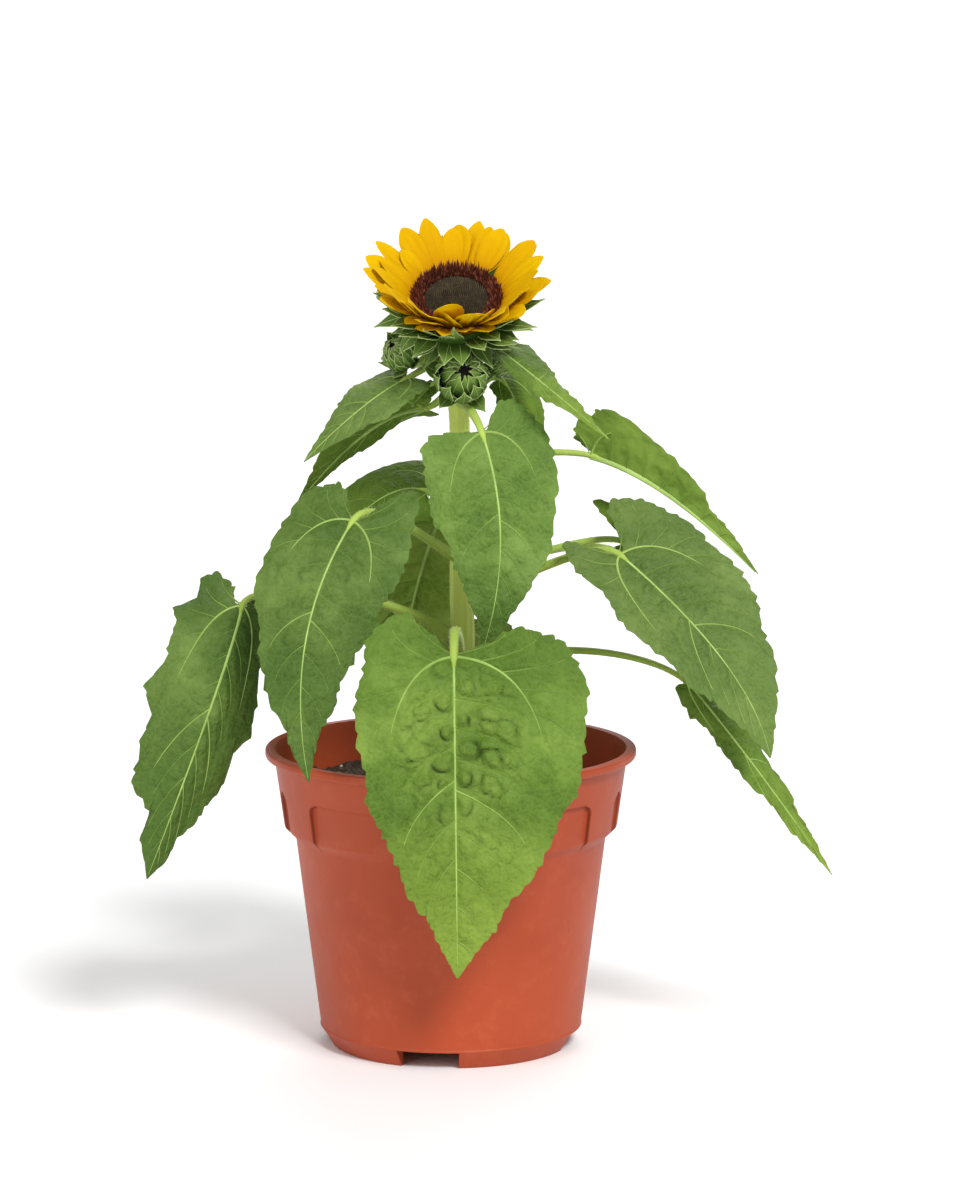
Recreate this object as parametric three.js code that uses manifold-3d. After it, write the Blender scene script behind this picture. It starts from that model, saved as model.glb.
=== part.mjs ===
// Potted dwarf sunflower: one open flower head, three side buds and drooping leaves
// on a single stem, growing in a round plastic nursery pot filled with compost.
// Millimetres, +Z up, +Y away from the front view. The origin is the centre of the pot's underside.

import * as THREE from 'three';
import { mergeVertices } from 'three/addons/utils/BufferGeometryUtils.js';
import Module from 'manifold-3d';

const wasm = await Module();
wasm.setup();

// Common clearances and counts
const GAP = 0.3;
const DEGREE = Math.PI / 180;

// Pot
const POT_HEIGHT = 138;
const POT_LIP_RADIUS = 85;
const POT_LIP_WIDTH = 4.6;
const POT_LIP_HEIGHT = 4;
const POT_WALL = 1.6;
const COLLAR_TOP_RADIUS = 80.8;
const COLLAR_BOTTOM_RADIUS = 76.4;
const COLLAR_BOTTOM = 102;
const COLLAR_CHAMFER = 5;
const COLLAR_PANEL_TOP = 119;
const COLLAR_PANEL_DEPTH = 2;
const BODY_TOP_RADIUS = 71.2;
const BODY_BOTTOM_RADIUS = 60.1;
const BODY_BOTTOM = 8.6;
const FOOT_RADIUS = 54.8;
const FOOT_WALL = 2.2;
const FOOT_SHOULDER = 4.5;
const FOOT_SHOULDER_RADIUS = 57.6;
const FLOOR_UNDERSIDE = 8.6;
const FLOOR_THICKNESS = 1.8;
const CENTRE_PAD_RADIUS = 12;
const CENTRE_PAD_SIDES = 12;
const NOTCH_HALF_ANGLE = 14;
const NOTCH_HEIGHT = 8.3;
const NOTCH_BEARINGS = [-10, 80, 170, 260];
const LUG_SPANS = [[54, 72], [81, 99], [108, 126], [-72, -54], [-99, -81], [-126, -108]];
const DRAIN_HOLES = 6;
const DRAIN_RADIUS = 4.5;
const DRAIN_CIRCLE = 34;
const POT_SEGMENTS = 40;

// Compost
const SOIL_TOP = 120;
const SOIL_BUMP = 0.9;
const SOIL_SEGMENTS = 24;
const SOIL_RINGS = 5;
const SOIL_FLAT_RADIUS = 15;

// Stem, from the compost to the back of the flower head
const STEM_FOOT = new THREE.Vector3(5.5, 0, SOIL_TOP + GAP);
const STEM_FOOT_RADIUS = 6.2;
const STEM_TOP_RADIUS = 4.4;
const STEM_FLARE = 1.2;
const STEM_FLARE_HEIGHT = 12;
const STEM_RISE = 150;
const STEM_SIDES = 10;
const STEM_STEPS = 14;

// Flower head: its frame has +Z out of the disc's face and +Y up the back of the disc
const HEAD_CENTRE = new THREE.Vector3(2.9, -15, 345.2);
const HEAD_ELEVATION = 50;
const HEAD_DEPTH = 19;
const DISC_RADIUS = 14.6;
const DISC_RIM_RADIUS = 20.4;
const RAY_BAND_WIDTH = 2.4;
const RECEPTACLE_RADIUS = 23.4;
const RAY_COUNT = 21;
const RAY_LENGTH = 25.5;
const RAY_WIDTH = 9.4;
const RAY_THICKNESS = 0.6;
const RAY_LIFT_BACK = 12;
const RAY_LIFT_FRONT = 60;
const BRACT_ROWS = [
  { count: 12, length: 21, width: 8, liftBack: -4, liftFront: 31, depth: 5.5 },
  { count: 11, length: 19, width: 8.5, liftBack: -20, liftFront: 24, depth: 8.5 },
];
const BRACT_THICKNESS = 0.8;

// Leaf blade: one half of the outline, from the petiole round the lobe to the tip,
// as [along the midrib / blade length, across / half width]
const BLADE_OUTLINE = [
  [0, 0.05], [-0.06, 0.22], [-0.115, 0.52], [-0.04, 0.86], [0.15, 1],
  [0.38, 0.93], [0.62, 0.65], [0.82, 0.31], [0.93, 0.12], [1, 0.01],
];
const BLADE_ROWS = 12;
const BLADE_COLUMNS = [1, 0.55, 0.1, -0.1, -0.55, -1];
const BLADE_FAN = 2.2;
const BLADE_SWEEP = 5.5;
const BLADE_THICKNESS = 0.0105;
const BLADE_RIB = 1.7;
const BLADE_ROOT_HALF = 1.6;
const BLADE_MITRE = 0.3;

// Petioles: radius = the first number + the second x the mean half width of the blade
const PETIOLE_ROOT = [1.6, 0.03];
const PETIOLE_TIP = [1.1, 0.015];
const PETIOLE_SIDES = 6;
const PETIOLE_STEPS = 8;

// Leaves. node is the height on the stem where the petiole leaves it, rise its angle above
// level there and hook the length over which it bends into the blade. base, mid and tip are
// points of the midrib. face is the way the upper side looks at the base and at the tip.
// half holds the half widths left and right of the midrib, lobe the size of the two basal
// lobes, fold the angles of the two halves at the midrib and curl how far they bend on.
// belly, where it is given, moves the widest part of each half towards the tip when under 1.
const LEAVES = [
  {
    name: 'front_low', node: 168, rise: 35, hook: 26, half: [43, 58], lobe: [1.15, 0.62],
    base: [1.9, -92, 195.6], mid: [2.7, -106, 133.7], tip: [3.5, -100, 52.6],
    face: [[0, -1, 0.2], [0, -1, 0]], fold: [5, 5], curl: [-8, -8],
  },
  {
    name: 'front_high', node: 297, rise: 0, hook: 8, half: [31, 28], lobe: [0.4, 0.9],
    base: [14.1, -34, 287.2], mid: [22.5, -48, 240.2], tip: [14.6, -48, 190.5],
    face: [[0, -1, 0.3], [0, -1, 0]], fold: [0, 0], curl: [-10, -10],
  },
  {
    name: 'left_front', node: 224, rise: 25, hook: 18, half: [29.5, 31], lobe: [1, 1.7], belly: [1.2, 1.1],
    base: [-42.7, -55, 250.2], mid: [-63.5, -78, 199], tip: [-62.3, -82, 137.1],
    face: [[-0.2, -1, 0.5], [0.1, -1, 0]], fold: [0, 0], curl: [-10, -10],
  },
  {
    name: 'left_low', node: 186, rise: 40, hook: 20, half: [28.5, 23], lobe: [1.3, 0.9], belly: [0.72, 0.6],
    base: [-93.6, -32, 208.4], mid: [-105.6, -50, 169.1], tip: [-136.7, -46, 85.6],
    face: [[0, -1, 0.4], [0, -1, 0.2]], fold: [0, -38], curl: [-10, -10],
  },
  {
    name: 'right_front', node: 208, rise: 15, hook: 16, half: [25, 37], lobe: [1.5, 1.6], belly: [0.65, 1],
    base: [76, -25, 230.5], mid: [122.3, -52, 185.8], tip: [142.9, -58, 143.3],
    face: [[0.2, -0.9, 0.5], [0.3, -0.9, 0.3]], fold: [8, 0], curl: [4, -10],
  },
  {
    name: 'right_low', node: 171, rise: 30, hook: 20, half: [8, 16], lobe: [0.15, 0.4], belly: [1, 1.5],
    base: [108.3, -6, 168.3], mid: [139.2, -22, 131], tip: [173.4, -28, 83.5],
    face: [[0.4, -0.6, 0.7], [0.4, -0.8, 0.4]], fold: [-20, -10], curl: [-10, -10],
  },
  {
    name: 'right_high', node: 262, rise: 30, hook: 14, half: [23, 17], lobe: [0.9, 0.9], belly: [2, 1.8],
    base: [63.4, 0, 272.3], mid: [98.6, -8, 255.5], tip: [139.2, -16, 220.1],
    face: [[0, 0.1, 1], [0.3, 0.1, 1]], fold: [68, 50], curl: [8, 8],
  },
  {
    name: 'upper_right', node: 315, rise: 20, hook: 6, half: [8, 17], lobe: [0.3, 0.7], belly: [1, 2.2],
    base: [20.2, -12, 322.8], mid: [41.5, -36, 308.7], tip: [70.9, -56, 286],
    face: [[0.5, -0.8, 0.5], [0.4, -0.6, 0.7]], fold: [0, 0], curl: [-10, -10],
  },
  {
    name: 'upper_right_back', node: 294, rise: 25, hook: 11, half: [8, 19], lobe: [0.2, 0.6],
    base: [22.5, 3, 306.7], mid: [30.6, -4, 292], tip: [32.4, -10, 264.9],
    face: [[0.3, -0.7, 0.6], [0.3, -0.9, 0.2]], fold: [-10, -20], curl: [-10, -10],
  },
  {
    name: 'upper_left', node: 318, rise: -5, hook: 8, half: [18, 15], lobe: [1, 0.4], belly: [1.3, 1],
    base: [-19, -12, 308.8], mid: [-39.9, -28, 296.6], tip: [-65.2, -38, 274],
    face: [[-0.4, -0.6, 0.7], [-0.4, -0.6, 0.7]], fold: [0, 0], curl: [-10, -10],
  },
  {
    name: 'small_left', node: 303, rise: 0, hook: 3, half: [3.5, 4.5], lobe: [0, 0],
    base: [-6.9, -9, 306.2], mid: [-11.9, -11, 301.9], tip: [-17.3, -12, 295.6],
    face: [[-0.3, -0.8, 0.5], [-0.3, -0.8, 0.5]], fold: [0, 0], curl: [-10, -10],
  },
  {
    name: 'left_high', node: 302, rise: -10, hook: 8, half: [13, 18], lobe: [0.6, 0.6],
    base: [-12, 4, 293.3], mid: [-38, 5, 282.7], tip: [-69.8, 0, 250.3],
    face: [[-0.4, 0.6, 0.8], [-0.6, 0.6, 0.4]], fold: [0, 0], curl: [10, 10],
  },
  {
    name: 'left_back', node: 244, rise: 30, hook: 12, half: [24, 24], lobe: [1, 1],
    base: [-10, 24, 252], mid: [-34, 30, 247], tip: [-64, 32, 215],
    face: [[0, -0.5, 0.8], [-0.3, -0.6, 0.7]], fold: [0, 0], curl: [-10, -10],
  },
  {
    name: 'back_centre', node: 218, rise: 30, hook: 14, half: [26, 26], lobe: [1, 1],
    base: [-6, 42, 236], mid: [-18, 52, 196], tip: [-28, 52, 140],
    face: [[0, 1, 0.3], [-0.1, 1, 0.1]], fold: [0, 0], curl: [-8, -8],
  },
  {
    name: 'right_back', node: 215, rise: 18, hook: 14, half: [15, 18], lobe: [0.5, 3.3],
    base: [80.1, 6, 231.5], mid: [105.6, 2, 217.4], tip: [135.6, -2, 204.1],
    face: [[0.2, -0.6, 0.7], [0.3, -0.6, 0.7]], fold: [0, 8], curl: [-10, 6],
  },
  {
    name: 'back_high', node: 270, rise: 20, hook: 12, half: [23, 23], lobe: [0.8, 0.8],
    base: [10, 52, 264], mid: [14, 84, 246], tip: [16, 102, 188],
    face: [[0.1, 0.5, 0.9], [0, 1, 0.3]], fold: [0, 0], curl: [-10, -10],
  },
  {
    name: 'back_left', node: 176, rise: 30, hook: 18, half: [24, 24], lobe: [1, 1],
    base: [-58, 54, 210], mid: [-72, 78, 184], tip: [-76, 90, 126],
    face: [[-0.4, 0.6, 0.8], [-0.5, 1, 0.2]], fold: [0, 0], curl: [-10, -10],
  },
  {
    name: 'back_right', node: 209, rise: 30, hook: 18, half: [22, 22], lobe: [1, 1],
    base: [76, 60, 220], mid: [98, 84, 192], tip: [126, 94, 140],
    face: [[0.4, 0.6, 0.8], [0.5, 1, 0.2]], fold: [0, 0], curl: [-10, -10],
  },
  {
    name: 'back_low', node: 158, rise: 35, hook: 18, half: [32, 32], lobe: [1, 1],
    base: [2, 92, 178], mid: [0, 112, 140], tip: [-4, 112, 66],
    face: [[0, 0.7, 0.8], [0, 1, 0.1]], fold: [0, 0], curl: [-10, -10],
  },
];

// Side buds: centre, way the bud looks, radius, where its stalk leaves the stem
const BUDS = [
  { name: 'front', centre: [5.4, -22, 311], axis: [0.05, -0.95, 0.3], radius: 12.5, node: 303, bracts: 10 },
  { name: 'left', centre: [-23, -10, 320.3], axis: [-0.5, -0.6, 0.6], radius: 8.5, node: 325, bracts: 8 },
  { name: 'right', centre: [22.4, -13, 314.3], axis: [0.6, -0.7, 0.4], radius: 4.5, node: 313, bracts: 6 },
];
const BUD_STALK_RADIUS = 2;

// Materials
function plain(color, roughness) {
  return new THREE.MeshStandardMaterial({ color, roughness, metalness: 0 });
}

const TERRACOTTA = plain(0xb95032, 0.45);
const COMPOST = plain(0x2b211b, 1);
const STEM_GREEN = plain(0x9fb455, 0.6);
const LEAF_GREEN = plain(0x6f9a3c, 0.65);
const BRACT_GREEN = plain(0x4f6b2c, 0.7);
const RAY_YELLOW = plain(0xf3bd0c, 0.6);
const DISC_BROWN = plain(0x40372a, 0.9);
const RIM_BROWN = plain(0x6d3019, 0.9);

// Closed body through rings of points. Every ring runs counter-clockwise round the way the
// rings follow each other, and each end is closed by a strip across the ring.
function loft(rings) {
  const count = rings[0].length;
  const positions = rings.flat().flatMap((point) => [point.x, point.y, point.z]);
  const faces = [];
  const quad = (a, b, c, d) => faces.push(a, b, c, a, c, d);
  for (let row = 0; row + 1 < rings.length; row += 1) {
    for (let i = 0; i < count; i += 1) {
      const next = (i + 1) % count;
      quad(row * count + i, row * count + next, (row + 1) * count + next, (row + 1) * count + i);
    }
  }
  const last = (rings.length - 1) * count;
  for (let i = 0; i + 1 < count / 2; i += 1) {
    const far = count - 1 - i;
    quad(i, far, far - 1, i + 1);
    quad(last + i, last + i + 1, last + far - 1, last + far);
  }
  const geometry = new THREE.BufferGeometry();
  geometry.setAttribute('position', new THREE.Float32BufferAttribute(positions, 3));
  geometry.setIndex(faces);
  return geometry;
}

// Solid for joining and cutting, from any closed geometry
function solid(geometry) {
  const bare = geometry.clone();
  bare.deleteAttribute('normal');
  bare.deleteAttribute('uv');
  const merged = mergeVertices(bare, 1e-4);
  const corners = merged.index.array;
  const faces = [];
  for (let i = 0; i < corners.length; i += 3) {
    const [a, b, c] = corners.slice(i, i + 3);
    if (a !== b && b !== c && c !== a) {
      faces.push(a, b, c);
    }
  }
  return new wasm.Manifold(new wasm.Mesh({
    numProp: 3,
    vertProperties: new Float32Array(merged.attributes.position.array),
    triVerts: new Uint32Array(faces),
  }));
}

function geometryOf(manifold) {
  const mesh = manifold.getMesh();
  const geometry = new THREE.BufferGeometry();
  geometry.setAttribute('position', new THREE.Float32BufferAttribute(mesh.vertProperties, 3));
  geometry.setIndex(Array.from(mesh.triVerts));
  return geometry;
}

function piece(name, geometry, material) {
  geometry.computeVertexNormals();
  const mesh = new THREE.Mesh(geometry, material);
  mesh.name = name;
  return mesh;
}

const vector = (list) => new THREE.Vector3(...list);
const unit = (list) => vector(list).normalize();

// Turned body about +Z from a closed profile of [radius, height] pairs
function turned(profile, segments) {
  const points = profile.map(([radius, height]) => new THREE.Vector2(radius, height));
  const geometry = new THREE.LatheGeometry(points, segments);
  geometry.rotateX(Math.PI / 2);
  return geometry;
}

// Part of a turned body between two bearings. A bearing is 0 at the front and 90 at +X.
function sector([start, end], step, profile) {
  const steps = Math.ceil((end - start) / step);
  const rings = [];
  for (let i = 0; i <= steps; i += 1) {
    const bearing = (start + ((end - start) * i) / steps) * DEGREE;
    rings.push(profile.map(([radius, height]) => new THREE.Vector3(
      radius * Math.sin(bearing), -radius * Math.cos(bearing), height)).reverse());
  }
  return loft(rings);
}

// Smooth curve through a list of pairs, at a share of its run
function spline(points, share) {
  const last = points.length - 1;
  const place = share * last;
  const i = Math.min(Math.floor(place), last - 1);
  const t = place - i;
  const at = (k) => points[Math.min(Math.max(k, 0), last)];
  return [0, 1].map((axis) => {
    const [a, b, c, d] = [at(i - 1)[axis], at(i)[axis], at(i + 1)[axis], at(i + 2)[axis]];
    return 0.5 * (2 * b + (c - a) * t + (2 * a - 5 * b + 4 * c - d) * t * t
      + (3 * b - a - 3 * c + d) * t * t * t);
  });
}

// Tapering limb along a curve, with a regular section
function limb(curve, radiusAt, sides, steps, start) {
  const rings = [];
  for (let i = 0; i <= steps; i += 1) {
    const t = i / steps;
    const centre = curve.getPoint(t);
    const along = curve.getTangent(t);
    const across = start.clone().addScaledVector(along, -start.dot(along)).normalize();
    const third = along.clone().cross(across);
    rings.push(Array.from({ length: sides }, (_, k) => {
      const angle = (2 * Math.PI * k) / sides;
      return centre.clone()
        .addScaledVector(across, radiusAt(t) * Math.cos(angle))
        .addScaledVector(third, radiusAt(t) * Math.sin(angle));
    }));
  }
  return loft(rings);
}

// Stem
const HEAD_AXIS = vector([0, -Math.cos(HEAD_ELEVATION * DEGREE), Math.sin(HEAD_ELEVATION * DEGREE)]);
const STEM_TIP = HEAD_CENTRE.clone().addScaledVector(HEAD_AXIS, -HEAD_DEPTH - GAP);
const STEM_CURVE = new THREE.CubicBezierCurve3(
  STEM_FOOT,
  STEM_FOOT.clone().add(vector([0, 0, STEM_RISE])),
  STEM_TIP.clone().addScaledVector(HEAD_AXIS, -14),
  STEM_TIP,
);

function stemRadius(t) {
  const height = t * (STEM_TIP.z - STEM_FOOT.z);
  const flare = STEM_FLARE * Math.max(0, 1 - height / STEM_FLARE_HEIGHT);
  return STEM_FOOT_RADIUS + (STEM_TOP_RADIUS - STEM_FOOT_RADIUS) * t + flare;
}

function stemGeometry(clearance) {
  const front = vector([0, -1, 0]);
  return limb(STEM_CURVE, (t) => stemRadius(t) + clearance, STEM_SIDES, STEM_STEPS, front);
}

const STEM_ZONE = solid(stemGeometry(GAP));

// Point of the stem's axis at a height
function stemAxisAt(height) {
  let low = 0;
  let high = 1;
  for (let i = 0; i < 30; i += 1) {
    const middle = (low + high) / 2;
    if (STEM_CURVE.getPoint(middle).z < height) {
      low = middle;
    } else {
      high = middle;
    }
  }
  return STEM_CURVE.getPoint(low);
}

// Midrib of a leaf: its curve, and the frame across it at a distance from the petiole
function midrib(leaf) {
  const [base, mid, tip] = [leaf.base, leaf.mid, leaf.tip].map(vector);
  const bend = mid.clone().multiplyScalar(2).addScaledVector(base, -0.5).addScaledVector(tip, -0.5);
  const curve = new THREE.QuadraticBezierCurve3(base, bend, tip);
  const length = curve.getLength();
  const [faceBase, faceTip] = leaf.face.map(unit);
  const frameAt = (distance) => {
    const share = Math.min(Math.max(distance / length, 0), 1);
    const along = curve.getTangentAt(share);
    const centre = curve.getPointAt(share).addScaledVector(along, Math.min(distance, 0));
    const face = faceBase.clone().lerp(faceTip, share);
    face.addScaledVector(along, -face.dot(along)).normalize();
    return { centre, along, face, across: face.clone().cross(along) };
  };
  return { length, frameAt };
}

function petioleRadius(leaf, [least, growth]) {
  return least + (growth * (leaf.half[0] + leaf.half[1])) / 2;
}

// Point of a leaf's surface: distance along the midrib, distance across it, and lift off it.
// At a sharp fold the two halves meet in a mitre and don't pass through each other.
function bladePoint(leaf, rib, distance, across, lift) {
  const side = across < 0 ? 0 : 1;
  const sign = across < 0 ? -1 : 1;
  const reach = Math.abs(across);
  const share = reach / leaf.half[side];
  const fold = leaf.fold[side] * DEGREE;
  const curl = leaf.curl[side] * DEGREE;
  const angle = fold + (curl * share) / 2;
  const slope = fold + curl * share;
  const level = reach * Math.cos(angle);
  const out = Math.max(level - lift * Math.sin(slope), BLADE_MITRE * level);
  const frame = rib.frameAt(distance);
  return frame.centre
    .addScaledVector(frame.across, sign * out)
    .addScaledVector(frame.face, reach * Math.sin(angle) + lift * Math.cos(slope));
}

// Edge of the outline on one side of the midrib, in millimetres
function bladeEdge(leaf, rib, share, side) {
  const [along, across] = spline(BLADE_OUTLINE, share);
  const reach = along < 0 ? along * leaf.lobe[side] : along ** (leaf.belly ?? [1, 1])[side];
  const root = BLADE_ROOT_HALF * (1 - share) ** 12;
  return [reach * rib.length, across * leaf.half[side] + root];
}

function bladeGeometry(leaf, rib) {
  const thickness = rib.length * BLADE_THICKNESS;
  const rings = [];
  for (let row = 0; row <= BLADE_ROWS; row += 1) {
    const share = row / BLADE_ROWS;
    const centre = rib.length * share ** BLADE_FAN;
    const ridge = BLADE_RIB * (1 - share);
    const place = (column, lift) => {
      const [along, across] = bladeEdge(leaf, rib, share, column < 0 ? 0 : 1);
      const sweep = Math.abs(column) ** BLADE_SWEEP;
      return bladePoint(leaf, rib, centre + (along - centre) * sweep, across * column, lift);
    };
    const upper = BLADE_COLUMNS.map((column) => place(column, thickness / 2));
    const lower = BLADE_COLUMNS.map((column) => place(
      column, -thickness / 2 - (Math.abs(column) < 0.2 ? ridge : 0)));
    rings.push([...upper, ...lower.reverse()]);
  }
  return loft(rings);
}

// Petiole: leaves the stem, rises, and bends into the line of the blade
function petioleGeometry(leaf, rib) {
  const start = stemAxisAt(leaf.node);
  const frame = rib.frameAt(0);
  const end = frame.centre.clone().addScaledVector(frame.along, -GAP);
  const outward = end.clone().sub(start).setZ(0).normalize();
  const reach = end.distanceTo(start);
  const rise = leaf.rise * DEGREE;
  const leaving = outward.multiplyScalar(Math.cos(rise)).add(vector([0, 0, Math.sin(rise)]));
  const curve = new THREE.CubicBezierCurve3(
    start,
    start.clone().addScaledVector(leaving, reach * 0.4),
    end.clone().addScaledVector(frame.along, -leaf.hook),
    end,
  );
  const root = petioleRadius(leaf, PETIOLE_ROOT);
  const tip = petioleRadius(leaf, PETIOLE_TIP);
  const radiusAt = (t) => root + (tip - root) * t;
  const whole = limb(curve, radiusAt, PETIOLE_SIDES, PETIOLE_STEPS, frame.across);
  return geometryOf(solid(whole).subtract(STEM_ZONE));
}

// Pointed thin blade along +Y from the origin, curved up by a bend angle towards its tip and
// hollowed along its middle. It stands for a ray floret or a bract.
const POINTED_OUTLINE = [[0, 0.42], [0.35, 0.98], [0.65, 0.94], [1, 0.05]];

function pointedBlade({ length, width, thickness, bend, hollow }) {
  return loft(POINTED_OUTLINE.map(([share, half]) => {
    const angle = bend * DEGREE * share;
    const along = length * share * Math.cos(angle / 2);
    const up = length * share * Math.sin(angle / 2);
    const reach = (half * width) / 2;
    const at = (x, lift) => new THREE.Vector3(
      x, along - lift * Math.sin(angle), up + lift * Math.cos(angle) + hollow * Math.abs(x));
    return [at(-reach, 0), at(0, thickness / 2), at(reach, 0), at(0, -thickness / 2)];
  }));
}

// Places a thin blade in a head's frame: its root on a circle, turned to a bearing and raised
function ringBlade(blade, bearing, radius, height, lift) {
  blade.rotateX(lift * DEGREE);
  blade.translate(0, radius, height);
  blade.rotateZ(bearing * DEGREE);
  return solid(blade);
}

// Rays and bracts lie flattest at the back of the head and stand up over the disc at the front
function liftAt(bearing, back, front) {
  const forward = (1 - Math.cos(bearing * DEGREE)) / 2;
  return back + (front - back) * forward ** 1.1;
}

function joined(solids) {
  return solids.reduce((whole, part) => whole.add(part));
}

// Flower head parts, in the head's frame
function receptacle() {
  const bowl = turned([
    [0, -HEAD_DEPTH], [STEM_TOP_RADIUS, -HEAD_DEPTH], [10, -17.5], [17, -13], [22, -8],
    [RECEPTACLE_RADIUS, -5], [RECEPTACLE_RADIUS, -3.5], [0, -3.5],
  ], 24);
  const bracts = BRACT_ROWS.flatMap((row, index) => Array.from({ length: row.count }, (_, k) => {
    const bearing = ((k + index / 2) * 360) / row.count;
    const blade = pointedBlade({ ...row, thickness: BRACT_THICKNESS, bend: 10, hollow: 0.1 });
    const lift = liftAt(bearing, row.liftBack, row.liftFront);
    return ringBlade(blade, bearing, RECEPTACLE_RADIUS - 3 - index, -row.depth, lift);
  }));
  return geometryOf(joined([solid(bowl), ...bracts]));
}

function rays() {
  const inner = DISC_RIM_RADIUS + GAP;
  const band = turned([
    [inner, -3.2], [inner + RAY_BAND_WIDTH, -3.2], [inner + RAY_BAND_WIDTH, -1], [inner, -1], [inner, -3.2],
  ], 28);
  const petals = Array.from({ length: RAY_COUNT }, (_, k) => {
    const bearing = (k * 360) / RAY_COUNT;
    const blade = pointedBlade({
      length: RAY_LENGTH, width: RAY_WIDTH, thickness: RAY_THICKNESS, bend: 8, hollow: 0.12,
    });
    return ringBlade(blade, bearing, inner + 0.8, -2, liftAt(bearing, RAY_LIFT_BACK, RAY_LIFT_FRONT));
  });
  return geometryOf(joined([solid(band), ...petals]));
}

function discRim() {
  const inner = DISC_RADIUS + GAP;
  return geometryOf(solid(turned([
    [inner, -3.2], [DISC_RIM_RADIUS, -3.2], [DISC_RIM_RADIUS, 1], [DISC_RIM_RADIUS - 2, 3],
    [inner + 1, 2.4], [inner, 1], [inner, -3.2],
  ], 28)));
}

function disc() {
  return geometryOf(solid(turned([
    [0, -3.2], [DISC_RADIUS, -3.2], [DISC_RADIUS, 0.4], [DISC_RADIUS - 4, 1.6], [0, 0.8],
  ], 28)));
}

// Bud, in its own frame with +Z out of its tip: a cup of pointed bracts round a sunk crown
function budGeometry({ radius, bracts: count }) {
  const core = turned([
    [0, -radius], [0.45 * radius, -0.92 * radius], [0.82 * radius, -0.55 * radius],
    [0.9 * radius, 0], [0.7 * radius, 0.42 * radius], [0, 0.2 * radius],
  ], count);
  const bracts = Array.from({ length: count }, (_, k) => {
    const width = (5.6 * radius) / count;
    const blade = pointedBlade({
      length: 1.5 * radius, width, thickness: BRACT_THICKNESS, bend: 34, hollow: 0,
    });
    return ringBlade(blade, (k * 360) / count, 0.8 * radius, -0.6 * radius, 74);
  });
  return geometryOf(joined([solid(core), ...bracts]));
}

function budStalk(bud) {
  const start = stemAxisAt(bud.node);
  const axis = unit(bud.axis);
  const end = vector(bud.centre).addScaledVector(axis, -bud.radius - GAP);
  const reach = end.distanceTo(start);
  const curve = new THREE.CubicBezierCurve3(
    start,
    start.clone().add(end.clone().sub(start).setZ(0).setLength(reach * 0.4)),
    end.clone().addScaledVector(axis, -reach * 0.4),
    end,
  );
  const across = axis.clone().cross(vector([0, 0, 1])).normalize();
  const whole = limb(curve, () => BUD_STALK_RADIUS, PETIOLE_SIDES, PETIOLE_STEPS, across);
  return geometryOf(solid(whole).subtract(STEM_ZONE));
}

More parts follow.
